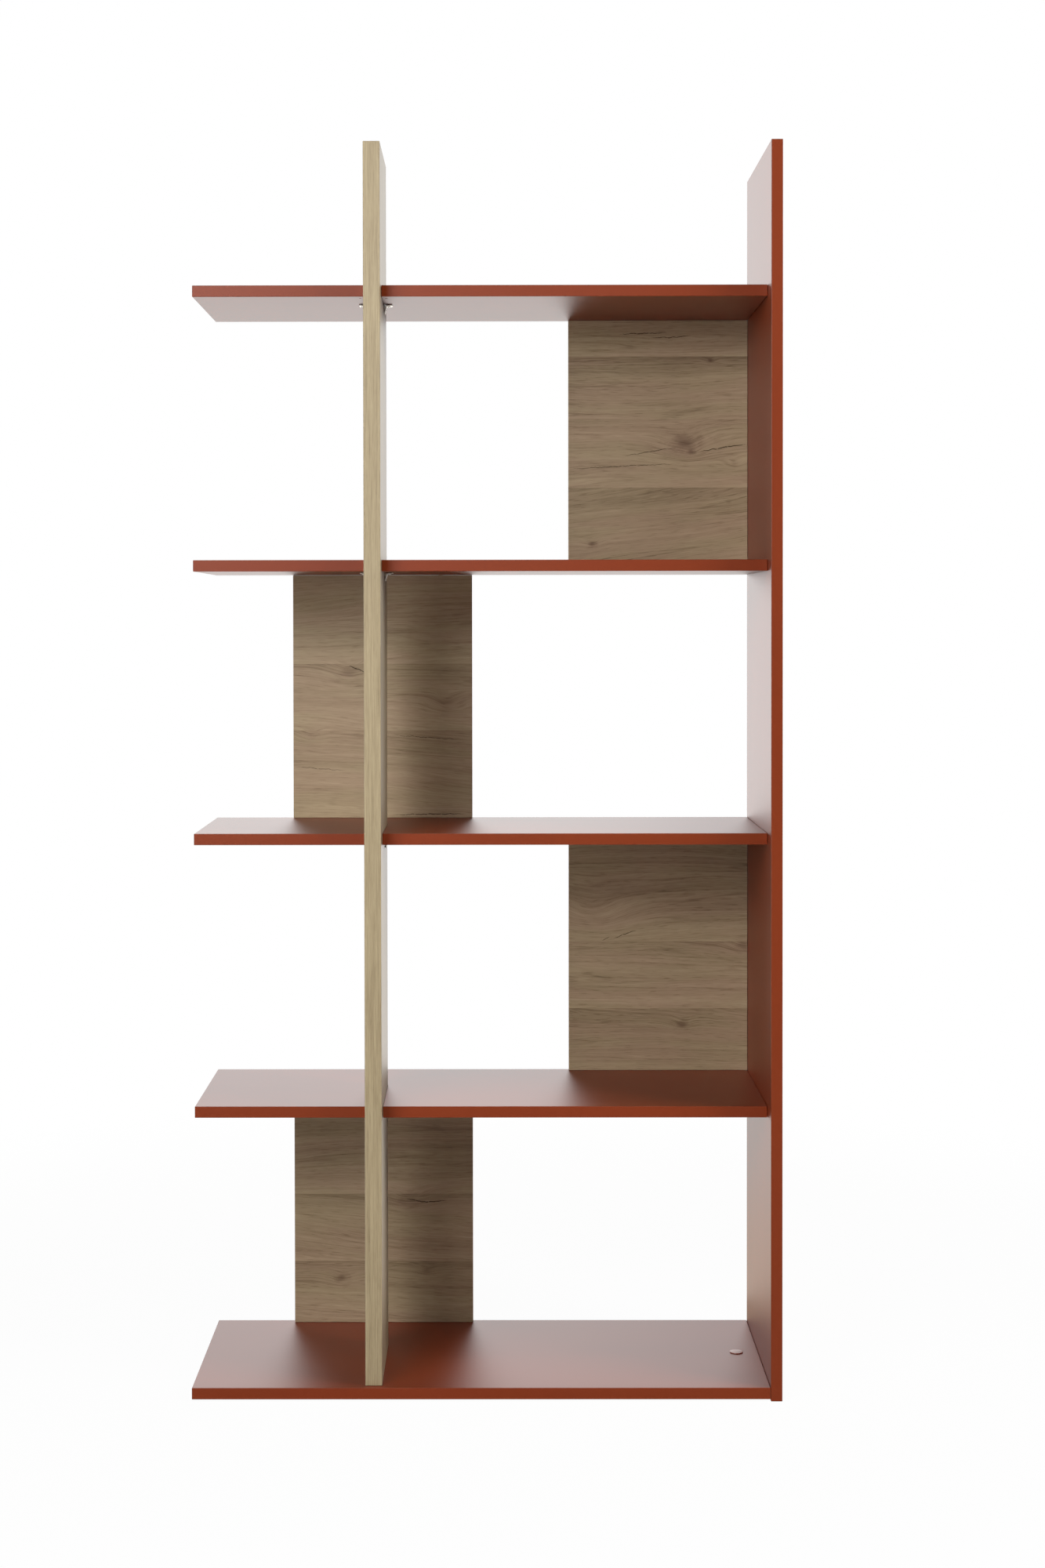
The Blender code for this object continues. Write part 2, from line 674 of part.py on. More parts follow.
def add_glides(build):
    """Flat-footed glides under the base board, each with its nail."""
    top = FLOOR_CLEARANCE - TOUCH_GAP
    nail_end = FLOOR_CLEARANCE + GLIDE_NAIL_BITE
    profile = [
        (0, nail_end),
        (GLIDE_NAIL_RADIUS, nail_end - GLIDE_NAIL_TIP_LENGTH),
        (GLIDE_NAIL_RADIUS, top),
        (GLIDE_RADIUS, top),
        (GLIDE_RADIUS, top * GLIDE_RIM_SHARE),
        (GLIDE_FOOT_RADIUS, 0),
        (0, 0),
    ]
    mesh = turned_mesh("glide", profile, CAM_SIDES)
    for place, x, y in glide_places():
        add_turned("glide_" + place, mesh, (x, y, 0), UP, build.white_plastic, build)


def main():
    clear_scene()
    build = Build()
    add_side_board(build)
    add_base_board(build)
    for index in range(1, len(LEVELS)):
        add_shelf(index, build)
    add_upright(build)
    for index in range(len(PANEL_SIDES)):
        add_back_panel(index, build)
    add_brackets(build)
    add_cam_fixings(build)
    add_cover_cap(build)
    add_dowels(build)
    add_glides(build)


main()
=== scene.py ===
"""Looks of a tall open shelving unit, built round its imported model.

Metres, +Z up, the open front faces -Y. The boards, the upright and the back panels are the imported
bodies with finishes of their own. Brackets, screws, cover cap and glides are finer surfaces in the
same places.
"""

from __future__ import annotations

import logging
import math
from dataclasses import dataclass
from enum import Enum
from typing import Any, Mapping, Sequence, Union

import bpy
import numpy as np
from mathutils import Matrix, Vector


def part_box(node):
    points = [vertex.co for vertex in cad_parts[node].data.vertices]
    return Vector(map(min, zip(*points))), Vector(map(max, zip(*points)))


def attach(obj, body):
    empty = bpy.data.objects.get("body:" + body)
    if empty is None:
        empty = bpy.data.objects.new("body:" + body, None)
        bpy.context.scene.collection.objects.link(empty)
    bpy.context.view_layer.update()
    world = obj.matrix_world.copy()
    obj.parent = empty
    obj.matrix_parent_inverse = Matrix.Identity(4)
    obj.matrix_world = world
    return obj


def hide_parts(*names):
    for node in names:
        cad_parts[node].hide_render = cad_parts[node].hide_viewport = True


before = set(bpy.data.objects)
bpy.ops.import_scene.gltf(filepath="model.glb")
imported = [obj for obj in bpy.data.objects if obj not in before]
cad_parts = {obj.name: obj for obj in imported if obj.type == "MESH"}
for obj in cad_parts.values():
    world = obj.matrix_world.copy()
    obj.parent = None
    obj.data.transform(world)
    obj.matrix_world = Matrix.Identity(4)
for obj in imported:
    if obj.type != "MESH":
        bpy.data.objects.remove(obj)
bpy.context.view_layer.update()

LOG = logging.getLogger("shelving_unit")

Point = tuple[float, float, float]
Colour = tuple[float, float, float]
Span = tuple[float, float]
Material = bpy.types.Material
Socket = bpy.types.NodeSocket

VIEWPORT_GREY = (0.5, 0.5, 0.5, 1.0)
SMOOTH_ANGLE = math.radians(32.0)


class Axis(Enum):
    """The axis that a board or its grain runs along."""

    X = 0
    Y = 1
    Z = 2


class Hand(Enum):
    """The side of the upright that a bracket is on, with the way it looks along X."""

    LEFT = -1
    RIGHT = 1


# Shader maths


class Value:
    """A number socket. Python maths on it adds Math nodes to its graph."""

    def __init__(self, graph: Graph, socket: Socket) -> None:
        """Keeps the graph and the socket."""
        self.graph = graph
        self.socket = socket

    def apply(self, operation: str, *others: Number) -> Value:
        """Runs a Math operation on this value, then on the others in order.

        Args:
            operation: the Math node's operation.
            others: the values of its second and third sockets.

        Returns:
            The result.
        """
        return self.graph.maths(operation, self, *others)

    def __add__(self, other: Number) -> Value:
        """This plus the other."""
        return self.apply("ADD", other)

    def __radd__(self, other: Number) -> Value:
        """The other plus this."""
        return self.graph.maths("ADD", other, self)

    def __sub__(self, other: Number) -> Value:
        """This less the other."""
        return self.apply("SUBTRACT", other)

    def __rsub__(self, other: Number) -> Value:
        """The other less this."""
        return self.graph.maths("SUBTRACT", other, self)

    def __mul__(self, other: Number) -> Value:
        """This times the other."""
        return self.apply("MULTIPLY", other)

    def __rmul__(self, other: Number) -> Value:
        """The other times this."""
        return self.graph.maths("MULTIPLY", other, self)

    def __truediv__(self, other: Number) -> Value:
        """This over the other."""
        return self.apply("DIVIDE", other)

    def __rtruediv__(self, other: Number) -> Value:
        """The other over this."""
        return self.graph.maths("DIVIDE", other, self)

    def __abs__(self) -> Value:
        """This without its sign."""
        return self.apply("ABSOLUTE")

    def exp(self) -> Value:
        """e to the power of this."""
        return self.apply("EXPONENT")

    def above(self, limit: Number) -> Value:
        """1 where this is above the limit, and 0 elsewhere."""
        return self.apply("GREATER_THAN", limit)

    def least(self, other: Number) -> Value:
        """The lesser of this and the other."""
        return self.apply("MINIMUM", other)

    def most(self, other: Number) -> Value:
        """The greater of this and the other."""
        return self.apply("MAXIMUM", other)

    def rise(self, low: Number, high: Number) -> Value:
        """Goes smoothly from 0 at the low value to 1 at the high one.

        Args:
            low: where the rise starts.
            high: where it ends.

        Returns:
            A value from 0 to 1.
        """
        node = self.graph.add(
            "ShaderNodeMapRange",
            {"interpolation_type": "SMOOTHSTEP"},
            {"Value": self, "From Min": low, "From Max": high},
        )
        return Value(self.graph, node.outputs["Result"])


Number = Union[float, Value]


class Graph:
    """A node tree, with one method that adds any node and a few that use it."""

    def __init__(self, tree: bpy.types.NodeTree) -> None:
        """Empties the tree and keeps it."""
        self.tree = tree
        self.tree.nodes.clear()

    def add(
        self,
        kind: str,
        settings: Mapping[str, Any] | None = None,
        sockets: Mapping[Union[str, int], Any] | None = None,
    ) -> bpy.types.Node:
        """Adds one node.

        Args:
            kind: the node's type.
            settings: its properties, or "stops" for a colour ramp, set before its sockets.
            sockets: a value, a colour or a link for each input, by name or by number.

        Returns:
            The node.
        """
        node = self.tree.nodes.new(kind)
        for key, value in (settings or {}).items():
            if key == "stops":
                self.set_stops(node.color_ramp, value)
            else:
                setattr(node, key, value)
        for key, value in (sockets or {}).items():
            if isinstance(value, Value):
                self.tree.links.new(value.socket, node.inputs[key])
            elif isinstance(value, Socket):
                self.tree.links.new(value, node.inputs[key])
            else:
                node.inputs[key].default_value = value
        return node

    @staticmethod
    def set_stops(ramp: bpy.types.ColorRamp, stops: Sequence[tuple[float, Colour]]) -> None:
        """Gives a colour ramp its stops.

        Args:
            ramp: the ramp, which has two stops at first.
            stops: places from 0 to 1 with their colours.
        """
        while len(ramp.elements) < len(stops):
            ramp.elements.new(0.5)
        for element, (place, colour) in zip(ramp.elements, stops):
            element.position = place
            element.color = (*colour, 1.0)

    def maths(self, operation: str, *values: Number) -> Value:
        """Adds a Math node on these values and returns its result."""
        node = self.add("ShaderNodeMath", {"operation": operation}, dict(enumerate(values)))
        return Value(self, node.outputs[0])

    def place(self) -> Socket:
        """The point in metres, which is the same in the object and in the unit."""
        return self.add("ShaderNodeTexCoord").outputs["Object"]

    def split(self, vector: Socket) -> tuple[Value, Value, Value]:
        """The three parts of a vector."""
        node = self.add("ShaderNodeSeparateXYZ", None, {0: vector})
        return tuple(Value(self, output) for output in node.outputs)

    def join(self, x: Number, y: Number, z: Number) -> Socket:
        """A vector of three parts."""
        return self.add("ShaderNodeCombineXYZ", None, {0: x, 1: y, 2: z}).outputs[0]

    def noise(self, vector: Socket, scale: Union[float, Point] = 1.0, detail: float = 2.0) -> Value:
        """Smooth noise from 0 to 1, about 0.5.

        Args:
            vector: where it is read.
            scale: features in a unit of the vector, the same along each axis or one for each.
            detail: how many finer layers it has.

        Returns:
            The noise.
        """
        if isinstance(scale, tuple):
            stretched = self.add("ShaderNodeVectorMath", {"operation": "MULTIPLY"}, {0: vector, 1: scale})
            vector = stretched.outputs[0]
            scale = 1.0
        sockets = {"Vector": vector, "Scale": scale, "Detail": detail}
        return Value(self, self.add("ShaderNodeTexNoise", None, sockets).outputs["Fac"])

    def line_noise(self, along: Number, detail: float) -> Value:
        """Smooth noise of one number, with a feature in each unit.

        Args:
            along: the number.
            detail: how many finer layers it has.

        Returns:
            The noise, from 0 to 1.
        """
        settings = {"noise_dimensions": "1D"}
        node = self.add("ShaderNodeTexNoise", settings, {"W": along, "Scale": 1.0, "Detail": detail})
        return Value(self, node.outputs["Fac"])

    def colours(self, value: Value, stops: Sequence[tuple[float, Colour]]) -> Socket:
        """A colour ramp read at a value."""
        return self.add("ShaderNodeValToRGB", {"stops": stops}, {0: value}).outputs["Color"]

    def blend(self, share: Number, first: Any, second: Any, mode: str = "MIX") -> Socket:
        """Mixes two colours.

        Args:
            share: how much of the second there is.
            first: a colour or a link.
            second: a colour or a link.
            mode: the blend type.

        Returns:
            The mixed colour.
        """
        colours = [(*c, 1.0) if isinstance(c, tuple) else c for c in (first, second)]
        settings = {"data_type": "RGBA", "blend_type": mode}
        return self.add("ShaderNodeMix", settings, {0: share, 6: colours[0], 7: colours[1]}).outputs[2]

    def bump(self, height: Value, depth: float, strength: float = 1.0) -> Socket:
        """A normal from a height of 0 to 1 that stands for a depth in metres."""
        sockets = {"Height": height, "Distance": depth, "Strength": strength}
        return self.add("ShaderNodeBump", None, sockets).outputs["Normal"]


class Paint(Graph):
    """The graph of a new material."""

    def __init__(self, name: str) -> None:
        """Adds the material and empties its graph.

        Args:
            name: the material's name.
        """
        self.material = bpy.data.materials.new(name)
        self.material.use_nodes = True
        self.material.diffuse_color = VIEWPORT_GREY
        super().__init__(self.material.node_tree)

    def end(self, shader: bpy.types.Node) -> Material:
        """Ends the graph in a shader.

        Args:
            shader: the last shader.

        Returns:
            The material.
        """
        self.add("ShaderNodeOutputMaterial", None, {"Surface": shader.outputs[0]})
        return self.material

    def coat(self, sockets: Mapping[str, Any]) -> Material:
        """Ends the graph in a Principled shader with these inputs, and returns the material."""
        return self.end(self.add("ShaderNodeBsdfPrincipled", None, sockets))


@dataclass(frozen=True)
class Satin:
    """The gloss of a finely textured decor, which shows only where it is seen at a flat angle.

    The share of reflection is the plain share, plus the strength times the square of (1 - cosine of the
    viewing angle).
    """

    plain: float
    strength: float
    roughness: float
    grey: float = 0.65

    def finish(
        self, graph: Paint, base: Socket, roughness: Number, normal: Socket, bare: Number = 0.0
    ) -> Material:
        """Ends a material's graph in a Principled shader with the gloss over it.

        Args:
            graph: the material's graph.
            base: its colour.
            roughness: its roughness under the gloss.
            normal: its bumped normal.
            bare: 1 where there is no decor.

        Returns:
            The material.
        """
        sockets = {"Base Color": base, "Roughness": roughness, "Specular IOR Level": 0.0, "Normal": normal}
        decor = graph.add("ShaderNodeBsdfPrincipled", None, sockets)
        facing = Value(graph, graph.add("ShaderNodeLayerWeight").outputs["Facing"])
        share = (facing * facing * self.strength + self.plain) * (1 - bare)
        sockets = {
            "Color": (self.grey, self.grey, self.grey, 1.0),
            "Roughness": self.roughness,
            "Normal": normal,
        }
        gloss = graph.add("ShaderNodeBsdfAnisotropic", {"distribution": "BECKMANN"}, sockets)
        sockets = {0: share, 1: decor.outputs[0], 2: gloss.outputs[0]}
        return graph.end(graph.add("ShaderNodeMixShader", None, sockets))


# Finishes


@dataclass(frozen=True)
class TerracottaFacing:
    """Satin red-brown melamine with a fine embossed grain, and thin edge bands of the same colour.

    The distance to the nearest arris is the middle one of the distances to the three pairs of faces. It
    draws the seam behind each edge band and a lighter colour on the arrises, which is partly wear and
    partly a painted highlight. A span is the distances at which its effect starts and ends.
    """

    colour: Colour = (0.238, 0.0390, 0.0102)
    deep_colour: Colour = (0.215, 0.0345, 0.0090)
    # lighter arris colour: partly wear, partly a painted highlight on the rounded arrises
    worn_and_highlight_colour: Colour = (0.42, 0.17, 0.10)
    # bare chipboard, painted darker than it is for the shade in the narrow slots and holes
    core_and_shade_colour: Colour = (0.15, 0.095, 0.055)
    roughness: float = 0.36
    satin: Satin = Satin(0.018, 0.43, 0.46)
    band: float = 0.0009
    seam: float = 0.00012
    wear_and_highlight_span: Span = (0.0002, 0.0010)
    core_span: Span = (0.0005, 0.0008)
    core_chip: float = 0.0002
    emboss_depth: float = 0.000006

    def material(self, name: str, low: Vector, high: Vector, run: Axis) -> Material:
        """The finish of one board.

        Args:
            name: the material's name.
            low: the board's lowest corner.
            high: its highest corner.
            run: the axis of its embossed grain.

        Returns:
            The material.
        """
        graph = Paint(name)
        place = graph.place()
        gaps = [(part - lo).least(hi - part) for part, lo, hi in zip(graph.split(place), low, high)]
        nearest = gaps[0].least(gaps[1])
        edge = nearest.most(gaps[0].most(gaps[1]).least(gaps[2]))

        emboss = graph.noise(place, tuple(45.0 if axis is run else 1300.0 for axis in Axis), 3.0)
        grit = graph.noise(place, 2600.0, 1.0)
        cloud = graph.noise(place, tuple(1.3 if axis is run else 9.0 for axis in Axis), 3.0)
        smudge = graph.noise(place, 11.0, 4.0)
        seam = 1 - abs(edge - self.band).rise(self.seam * 0.5, self.seam)
        # mask of the lighter arrises: partly wear, partly a painted highlight
        worn_and_highlight = (1 - edge.rise(*self.wear_and_highlight_span)) * smudge.rise(0.35, 0.75)
        core = self.raw_core(graph, place, nearest.least(gaps[2]))

        base = graph.blend(cloud.rise(0.25, 0.75), self.deep_colour, self.colour)
        base = graph.blend(seam * 0.35, base, tuple(c * 0.45 for c in self.colour))
        base = graph.blend(worn_and_highlight * 0.16, base, self.worn_and_highlight_colour)
        # painted shade: the bare core in the slots is darker than chipboard
        base = graph.blend(core, base, self.core_and_shade_colour)
        roughness = self.roughness + (smudge - 0.5) * 0.10 + (emboss - 0.5) * 0.06 + core * 0.4
        normal = graph.bump(emboss * 0.7 + grit * 0.3 - seam * 0.5, self.emboss_depth)
        return self.satin.finish(graph, base, roughness, normal, core)

    def raw_core(self, graph: Graph, place: Socket, depth: Value) -> Value:
        """Bare chipboard inside the board, which shows only in its slots and drilled holes, in a colour
        painted darker than chipboard for the shade there.

        Args:
            graph: the material's graph.
            place: the point in metres.
            depth: how deep the point lies below the nearest face.

        Returns:
            1 deeper than the facing below every face, with a chipped edge.
        """
        chip = graph.noise(place, 900.0, 2.0)
        return (depth + (chip - 0.5) * self.core_chip).rise(*self.core_span)


@dataclass(frozen=True)
class Knot:
    """A knot in the oak: its place across and up, how far it reaches, and how dark its heart is."""

    across: float
    up: float
    reach: float
    dark: float


@dataclass(frozen=True)
class Crack:
    """A dark drying crack: its two ends across and up, how far it bows, and its width."""

    start: tuple[float, float]
    end: tuple[float, float]
    bow: float
    width: float


@dataclass(frozen=True)
class Plank:
    """A plank of a panel: the height of its foot, the slope of its grain, its tone and its figure."""

    foot: float
    slope: float
    tone: float
    figure: float


OAK_STOPS = (
    (0.00, (0.099, 0.067, 0.037)),
    (0.30, (0.229, 0.168, 0.099)),
    (0.50, (0.340, 0.261, 0.158)),
    (0.72, (0.438, 0.346, 0.217)),
    (1.00, (0.550, 0.459, 0.302)),
)


@dataclass(frozen=True)
class OakPlanks:
    """Oak decor of wide planks that lie across a panel.

    A plank's figure is a noise of one number: the height, sloped and moved by slow noise and lifted round
    each knot, so that its lines run along the plank, swell into long loops and close round the knots.
    """

    planks: tuple[Plank, ...]
    knots: tuple[Knot, ...]
    cracks: tuple[Crack, ...]
    roughness: float = 0.47
    satin: Satin = Satin(0.015, 0.50, 0.43)
    sway: float = 0.046
    ripple: float = 0.0018
    seam_span: Span = (0.0001, 0.0007)
    seam_fade: float = 45.0
    crack_wander: float = 0.0050
    crack_blur: float = 0.0001
    pore_depth: float = 0.00002

    def material(self, name: str) -> Material:
        """The finish of one back panel.

        Args:
            name: the material's name.

        Returns:
            The material.
        """
        graph = Paint(name)
        x, y, z = graph.split(graph.place())
        figure = self.stepped(z, [plank.figure for plank in self.planks])
        flow, heart = self.bent_height(graph, (x, y, z), figure)

        def grain(scales: Point, seed: float, detail: float, up: Value) -> Value:
            """Noise of a stretched place, which the seed times the figure moves along the plank."""
            along = x * scales[0] + figure * seed
            return graph.noise(graph.join(along, y * scales[1], up * scales[2]), detail=detail)

        rings = graph.line_noise(flow * 300.0 + figure * 90.0, 2.0)
        bands = graph.line_noise(flow * 70.0 + figure * 40.0, 1.0)
        streaks = grain((8.0, 60.0, 520.0), 11.0, 2.0, flow)
        fibres = grain((45.0, 60.0, 1400.0), 17.0, 1.0, flow)
        pores = grain((62.0, 60.0, 900.0), 29.0, 0.5, flow).rise(0.58, 0.72)
        cloud = grain((4.5, 3.0, 28.0), 13.0, 3.0, z)
        drift = grain((3.4, 3.0, 62.0), 19.0, 1.0, flow)
        patches = grain((9.0, 3.0, 55.0), 23.0, 1.0, z)
        blush = graph.noise(graph.join(x * 6.0, y * 5.0, flow * 34.0 + figure * 9.0), detail=2.0)
        veins = 1 - abs(drift - 0.5).rise(0.004, 0.026)
        glints = 1 - abs(drift - 0.57).rise(0.004, 0.024)
        crack = self.crack_mask(graph, x, z)

        tone = self.stepped(z, [plank.tone for plank in self.planks]) + 0.5
        tone = tone + (rings - 0.5) * 0.17 + (bands - 0.5) * 0.16 + (streaks - 0.5) * 0.24
        tone = tone + (fibres - 0.5) * 0.26 + (cloud - 0.5) * 0.30 - pores * 0.10
        tone = tone + (glints * 0.06 - veins * 0.11) * patches.rise(0.40, 0.60)
        tone = tone + self.seam_shade(z) - heart
        base = graph.colours(tone - crack * 0.35, OAK_STOPS)
        base = graph.blend(blush.rise(0.36, 0.64), base, (1.030, 0.978, 1.030), "MULTIPLY")
        base = graph.blend(graph.maths("MINIMUM", heart * 3.0, 1.0), base, (1.0, 0.95, 1.0), "MULTIPLY")
        base = graph.blend(crack * 0.7, base, (0.030, 0.019, 0.011))

        roughness = self.roughness + pores * 0.14 + (rings - 0.5) * 0.08
        height = fibres * 0.4 + streaks * 0.3 - pores * 0.5 - crack * 1.5
        return self.satin.finish(graph, base, roughness, graph.bump(height, self.pore_depth, 0.5))

    def stepped(self, z: Value, values: Sequence[float]) -> Number:
        """A value for each plank, from the lowest up.

        Args:
            z: the place up.
            values: one number for each plank.

        Returns:
            The number of the plank at that height.
        """
        result: Number = values[0]
        for plank, value, below in zip(self.planks[1:], values[1:], values):
            result = result + z.above(plank.foot) * (value - below)
        return result

    def bent_height(
        self, graph: Graph, place: tuple[Value, Value, Value], figure: Number
    ) -> tuple[Value, Number]:
        """The height that the figure's lines follow.

        Args:
            graph: the material's graph.
            place: the place across, deep and up.
            figure: the number of the plank's figure.

        Returns:
            The height, sloped, swayed and lifted round the knots, and the darkness of their hearts.
        """
        x, y, z = place
        slope = self.stepped(z, [plank.slope for plank in self.planks])
        slow = graph.join(x * 2.8 + figure * 7.3, y * 2.0, z * 13.0 + figure * 3.1)
        quick = graph.join(x * 12.0 + figure * 5.9, y * 9.0, z * 70.0)
        flow = z - x * slope + (graph.noise(slow, detail=1.0) - 0.5) * self.sway
        flow = flow + (graph.noise(quick, detail=1.0) - 0.5) * self.ripple
        heart: Number = 0.0
        for knot in self.knots:
            lift, dark = self.knot_shape(graph, knot, x, z)
            flow = flow + lift
            heart = heart + dark
        return flow, heart

    def seam_shade(self, z: Value) -> Number:
        """Each plank is paler along its foot and darker along its head, which shows at every seam.

        Args:
            z: the place up.

        Returns:
            What the seams add to the tone.
        """
        shade: Number = 0.0
        for plank in self.planks[1:]:
            over = z - plank.foot
            up = over.above(0.0)
            line = 1 - abs(over).rise(*self.seam_span)
            shade = shade + (abs(over) * -self.seam_fade).exp() * (up * 0.17 - 0.10) - line * 0.045
        return shade

    def knot_shape(self, graph: Graph, knot: Knot, x: Value, z: Value) -> tuple[Value, Value]:
        """The lift of the figure round a knot, and the darkness of its heart.

        Both fall off as the bell of the distance, which counts 0.6 as much along the plank as across it
        and is frayed by noise.

        Args:
            graph: the material's graph.
            knot: the knot.
            x: the place across.
            z: the place up.

        Returns:
            The lift in metres, and how much the tone drops.
        """
        fray = graph.noise(graph.join(x * 70.0, knot.reach * 300.0, z * 110.0), detail=3.0)
        across = (x - knot.across) * 0.6
        up = z - knot.up
        square = across * across + up * up
        wide = (square * (-1.0 / knot.reach**2)).exp()
        core = (square * (0.35 + fray.rise(0.25, 0.75) * 1.8) * (-5.0 / knot.reach**2)).exp()
        return wide * (knot.reach * 0.55), core * knot.dark * (0.6 + fray * 0.8)

    def crack_mask(self, graph: Graph, x: Value, z: Value) -> Number:
        """Thin cracks that bow between their ends, taper to nothing and wander a little.

        Args:
            graph: the material's graph.
            x: the place across.
            z: the place up.

        Returns:
            1 in a crack, and 0 elsewhere.
        """
        wander = (graph.noise(graph.join(x * 90.0, 0.0, 0.0), detail=3.0) - 0.5) * self.crack_wander
        broken = graph.noise(graph.join(x * 210.0, 0.0, 5.0), detail=1.0).rise(0.34, 0.50)
        mask: Number = 0.0
        for crack in self.cracks:
            (x0, z0), (x1, z1) = crack.start, crack.end
            share = ((x - x0) / (x1 - x0)).most(0.0).least(1.0)
            taper = share * (1 - share) * 4.0
            line = z0 + share * (z1 - z0) + taper * crack.bow + wander
            outer = taper * (crack.width * 0.8) + self.crack_blur
            body = 1 - abs(z - line).rise(taper * (crack.width * 0.2), outer)
            mask = mask + body * taper.rise(0.0, 0.5) * (0.35 + broken * 0.65)
        return mask


@dataclass(frozen=True)
class OakUpright:
    """Oak decor with a straight, fine grain that runs up the board."""

    roughness: float = 0.45
    satin: Satin = Satin(0.022, 0.48, 0.46)
    sway: float = 0.004
    streak_depth: float = 0.000006
    tint: Colour = (1.050, 1.075, 1.055)

    def material(self, name: str) -> Material:
        """The finish of the upright.

        Args:
            name: the material's name.

        Returns:
            The material.
        """
        graph = Paint(name)
        place = graph.place()
        bend = (graph.noise(place, (20.0, 20.0, 3.0), 1.0) - 0.5) * self.sway
        x, y, z = graph.split(place)
        bent = graph.join(x + bend, y + bend, z)
        streaks = graph.noise(bent, (480.0, 480.0, 9.0), 2.0)
        lines = graph.noise(bent, (1100.0, 1100.0, 26.0), 2.0)
        fibres = graph.noise(bent, (2300.0, 2300.0, 90.0), 1.0)
        cloud = graph.noise(bent, (60.0, 60.0, 2.2), 2.0)
        pores = lines.rise(0.58, 0.70)
        tone = 0.55 + (streaks - 0.5) * 0.50 + (lines - 0.5) * 0.50 + (fibres - 0.5) * 0.26
        tone = tone + (cloud - 0.5) * 0.24 - pores * 0.10
        base = graph.blend(1.0, graph.colours(tone, OAK_STOPS), self.tint, "MULTIPLY")
        normal = graph.bump(fibres * 0.5 + lines * 0.5 - pores * 0.4, self.streak_depth, 0.5)
        return self.satin.finish(graph, base, self.roughness + pores * 0.12, normal)


@dataclass(frozen=True)
class Metal:
    """Plain or plated metal with a fine tooth, faint stains and duller scratches."""

    name: str
    colour: Colour
    stain: Colour
    roughness: float
    grain: float
    depth: float
    metallic: float = 1.0

    def material(self) -> Material:
        """The finish.

        Returns:
            The material.
        """
        graph = Paint(self.name)
        place = graph.place()
        tooth = graph.noise(place, self.grain, 3.0)
        patch = graph.noise(place, 420.0, 3.0)
        scratch = graph.noise(place, (900.0, 5200.0, 2400.0), 2.0)
        sockets = {
            "Base Color": graph.blend(patch.rise(0.45, 0.75) * 0.6, self.colour, self.stain),
            "Metallic": self.metallic,
            "Roughness": self.roughness + (patch - 0.5) * 0.18 + scratch.rise(0.6, 0.72) * 0.12,
            "Normal": graph.bump(tooth + scratch * 0.5, self.depth, 0.5),
        }
        return graph.coat(sockets)


@dataclass(frozen=True)
class Moulding:
    """Moulded plastic with a fine spark texture and a slight mottle."""

    name: str
    colour: Colour
    roughness: float
    ior: float
    depth: float

    def material(self) -> Material:
        """The finish.

        Returns:
            The material.
        """
        graph = Paint(self.name)
        place = graph.place()
        spark = graph.noise(place, 4200.0, 2.0)
        mottle = graph.noise(place, 260.0, 3.0)
        dark = tuple(c * 0.84 for c in self.colour)
        sockets = {
            "Base Color": graph.blend(mottle.rise(0.3, 0.7), dark, self.colour),
            "Roughness": self.roughness + (mottle - 0.5) * 0.12,
            "IOR": self.ior,
            "Normal": graph.bump(spark, self.depth, 0.4),
        }
        return graph.coat(sockets)


@dataclass(frozen=True)
class BareBeech:
    """Turned beech with short dark flecks along its grain."""

    grain: Axis
    pale: Colour = (0.62, 0.44, 0.27)
    brown: Colour = (0.50, 0.32, 0.18)
    roughness: float = 0.62
    depth: float = 0.0001

    def material(self, name: str) -> Material:
        """The finish of a dowel.

        Args:
            name: the material's name.

        Returns:
            The material.
        """
        graph = Paint(name)
        place = graph.place()
        fleck = graph.noise(place, tuple(160.0 if axis is self.grain else 1500.0 for axis in Axis), 2.0)
        cloud = graph.noise(place, 180.0, 2.0)
        dark = tuple(c * 0.5 for c in self.brown)
        base = graph.blend(cloud.rise(0.3, 0.7), self.brown, self.pale)
        sockets = {
            "Base Color": graph.blend(fleck.rise(0.56, 0.70) * 0.5, base, dark),
            "Roughness": self.roughness + (fleck - 0.5) * 0.2,
            "Normal": graph.bump(fleck, self.depth, 0.5),
        }
        return graph.coat(sockets)


BRIGHT_STEEL = Metal("bright_steel", (0.82, 0.79, 0.72), (0.68, 0.64, 0.56), 0.42, 2400.0, 0.00002, 0.4)
CAST_ZINC = Metal("cast_zinc", (0.50, 0.50, 0.51), (0.38, 0.38, 0.39), 0.44, 1500.0, 0.00006)
CAP_PLASTIC = Moulding("red_plastic", (0.27, 0.060, 0.028), 0.34, 1.62, 0.00002)
GLIDE_PLASTIC = Moulding("white_plastic", (0.78, 0.78, 0.75), 0.46, 1.5, 0.00003)


# Surfaces


def new_object(name: str, data: Any) -> bpy.types.Object:
    """Puts a new object in the scene.

    Args:
        name: the object's name.
        data: its mesh, light or camera.

    Returns:
        The object.
    """
    thing = bpy.data.objects.new(name, data)
    bpy.context.scene.collection.objects.link(thing)
    return thing


def add_surface(name: str, points: np.ndarray, faces: list[np.ndarray], turn: Matrix) -> bpy.types.Object:
    """A closed mesh object at the origin, with its place in its points.

    Args:
        name: the object's name.
        points: local points, one row each.
        faces: arrays of corner numbers, one row for each face.
        turn: the matrix from local to unit coordinates.

    Returns:
        The object.
    """
    matrix = np.array(turn)
    placed = points @ matrix[:3, :3].T + matrix[:3, 3]
    rows = [row for group in faces for row in group.tolist()]
    mesh = bpy.data.meshes.new(name)
    mesh.from_pydata(placed.tolist(), [], rows)
    mesh.update()
    mesh.shade_smooth()
    mesh.set_sharp_from_angle(angle=SMOOTH_ANGLE)
    return new_object(name, mesh)


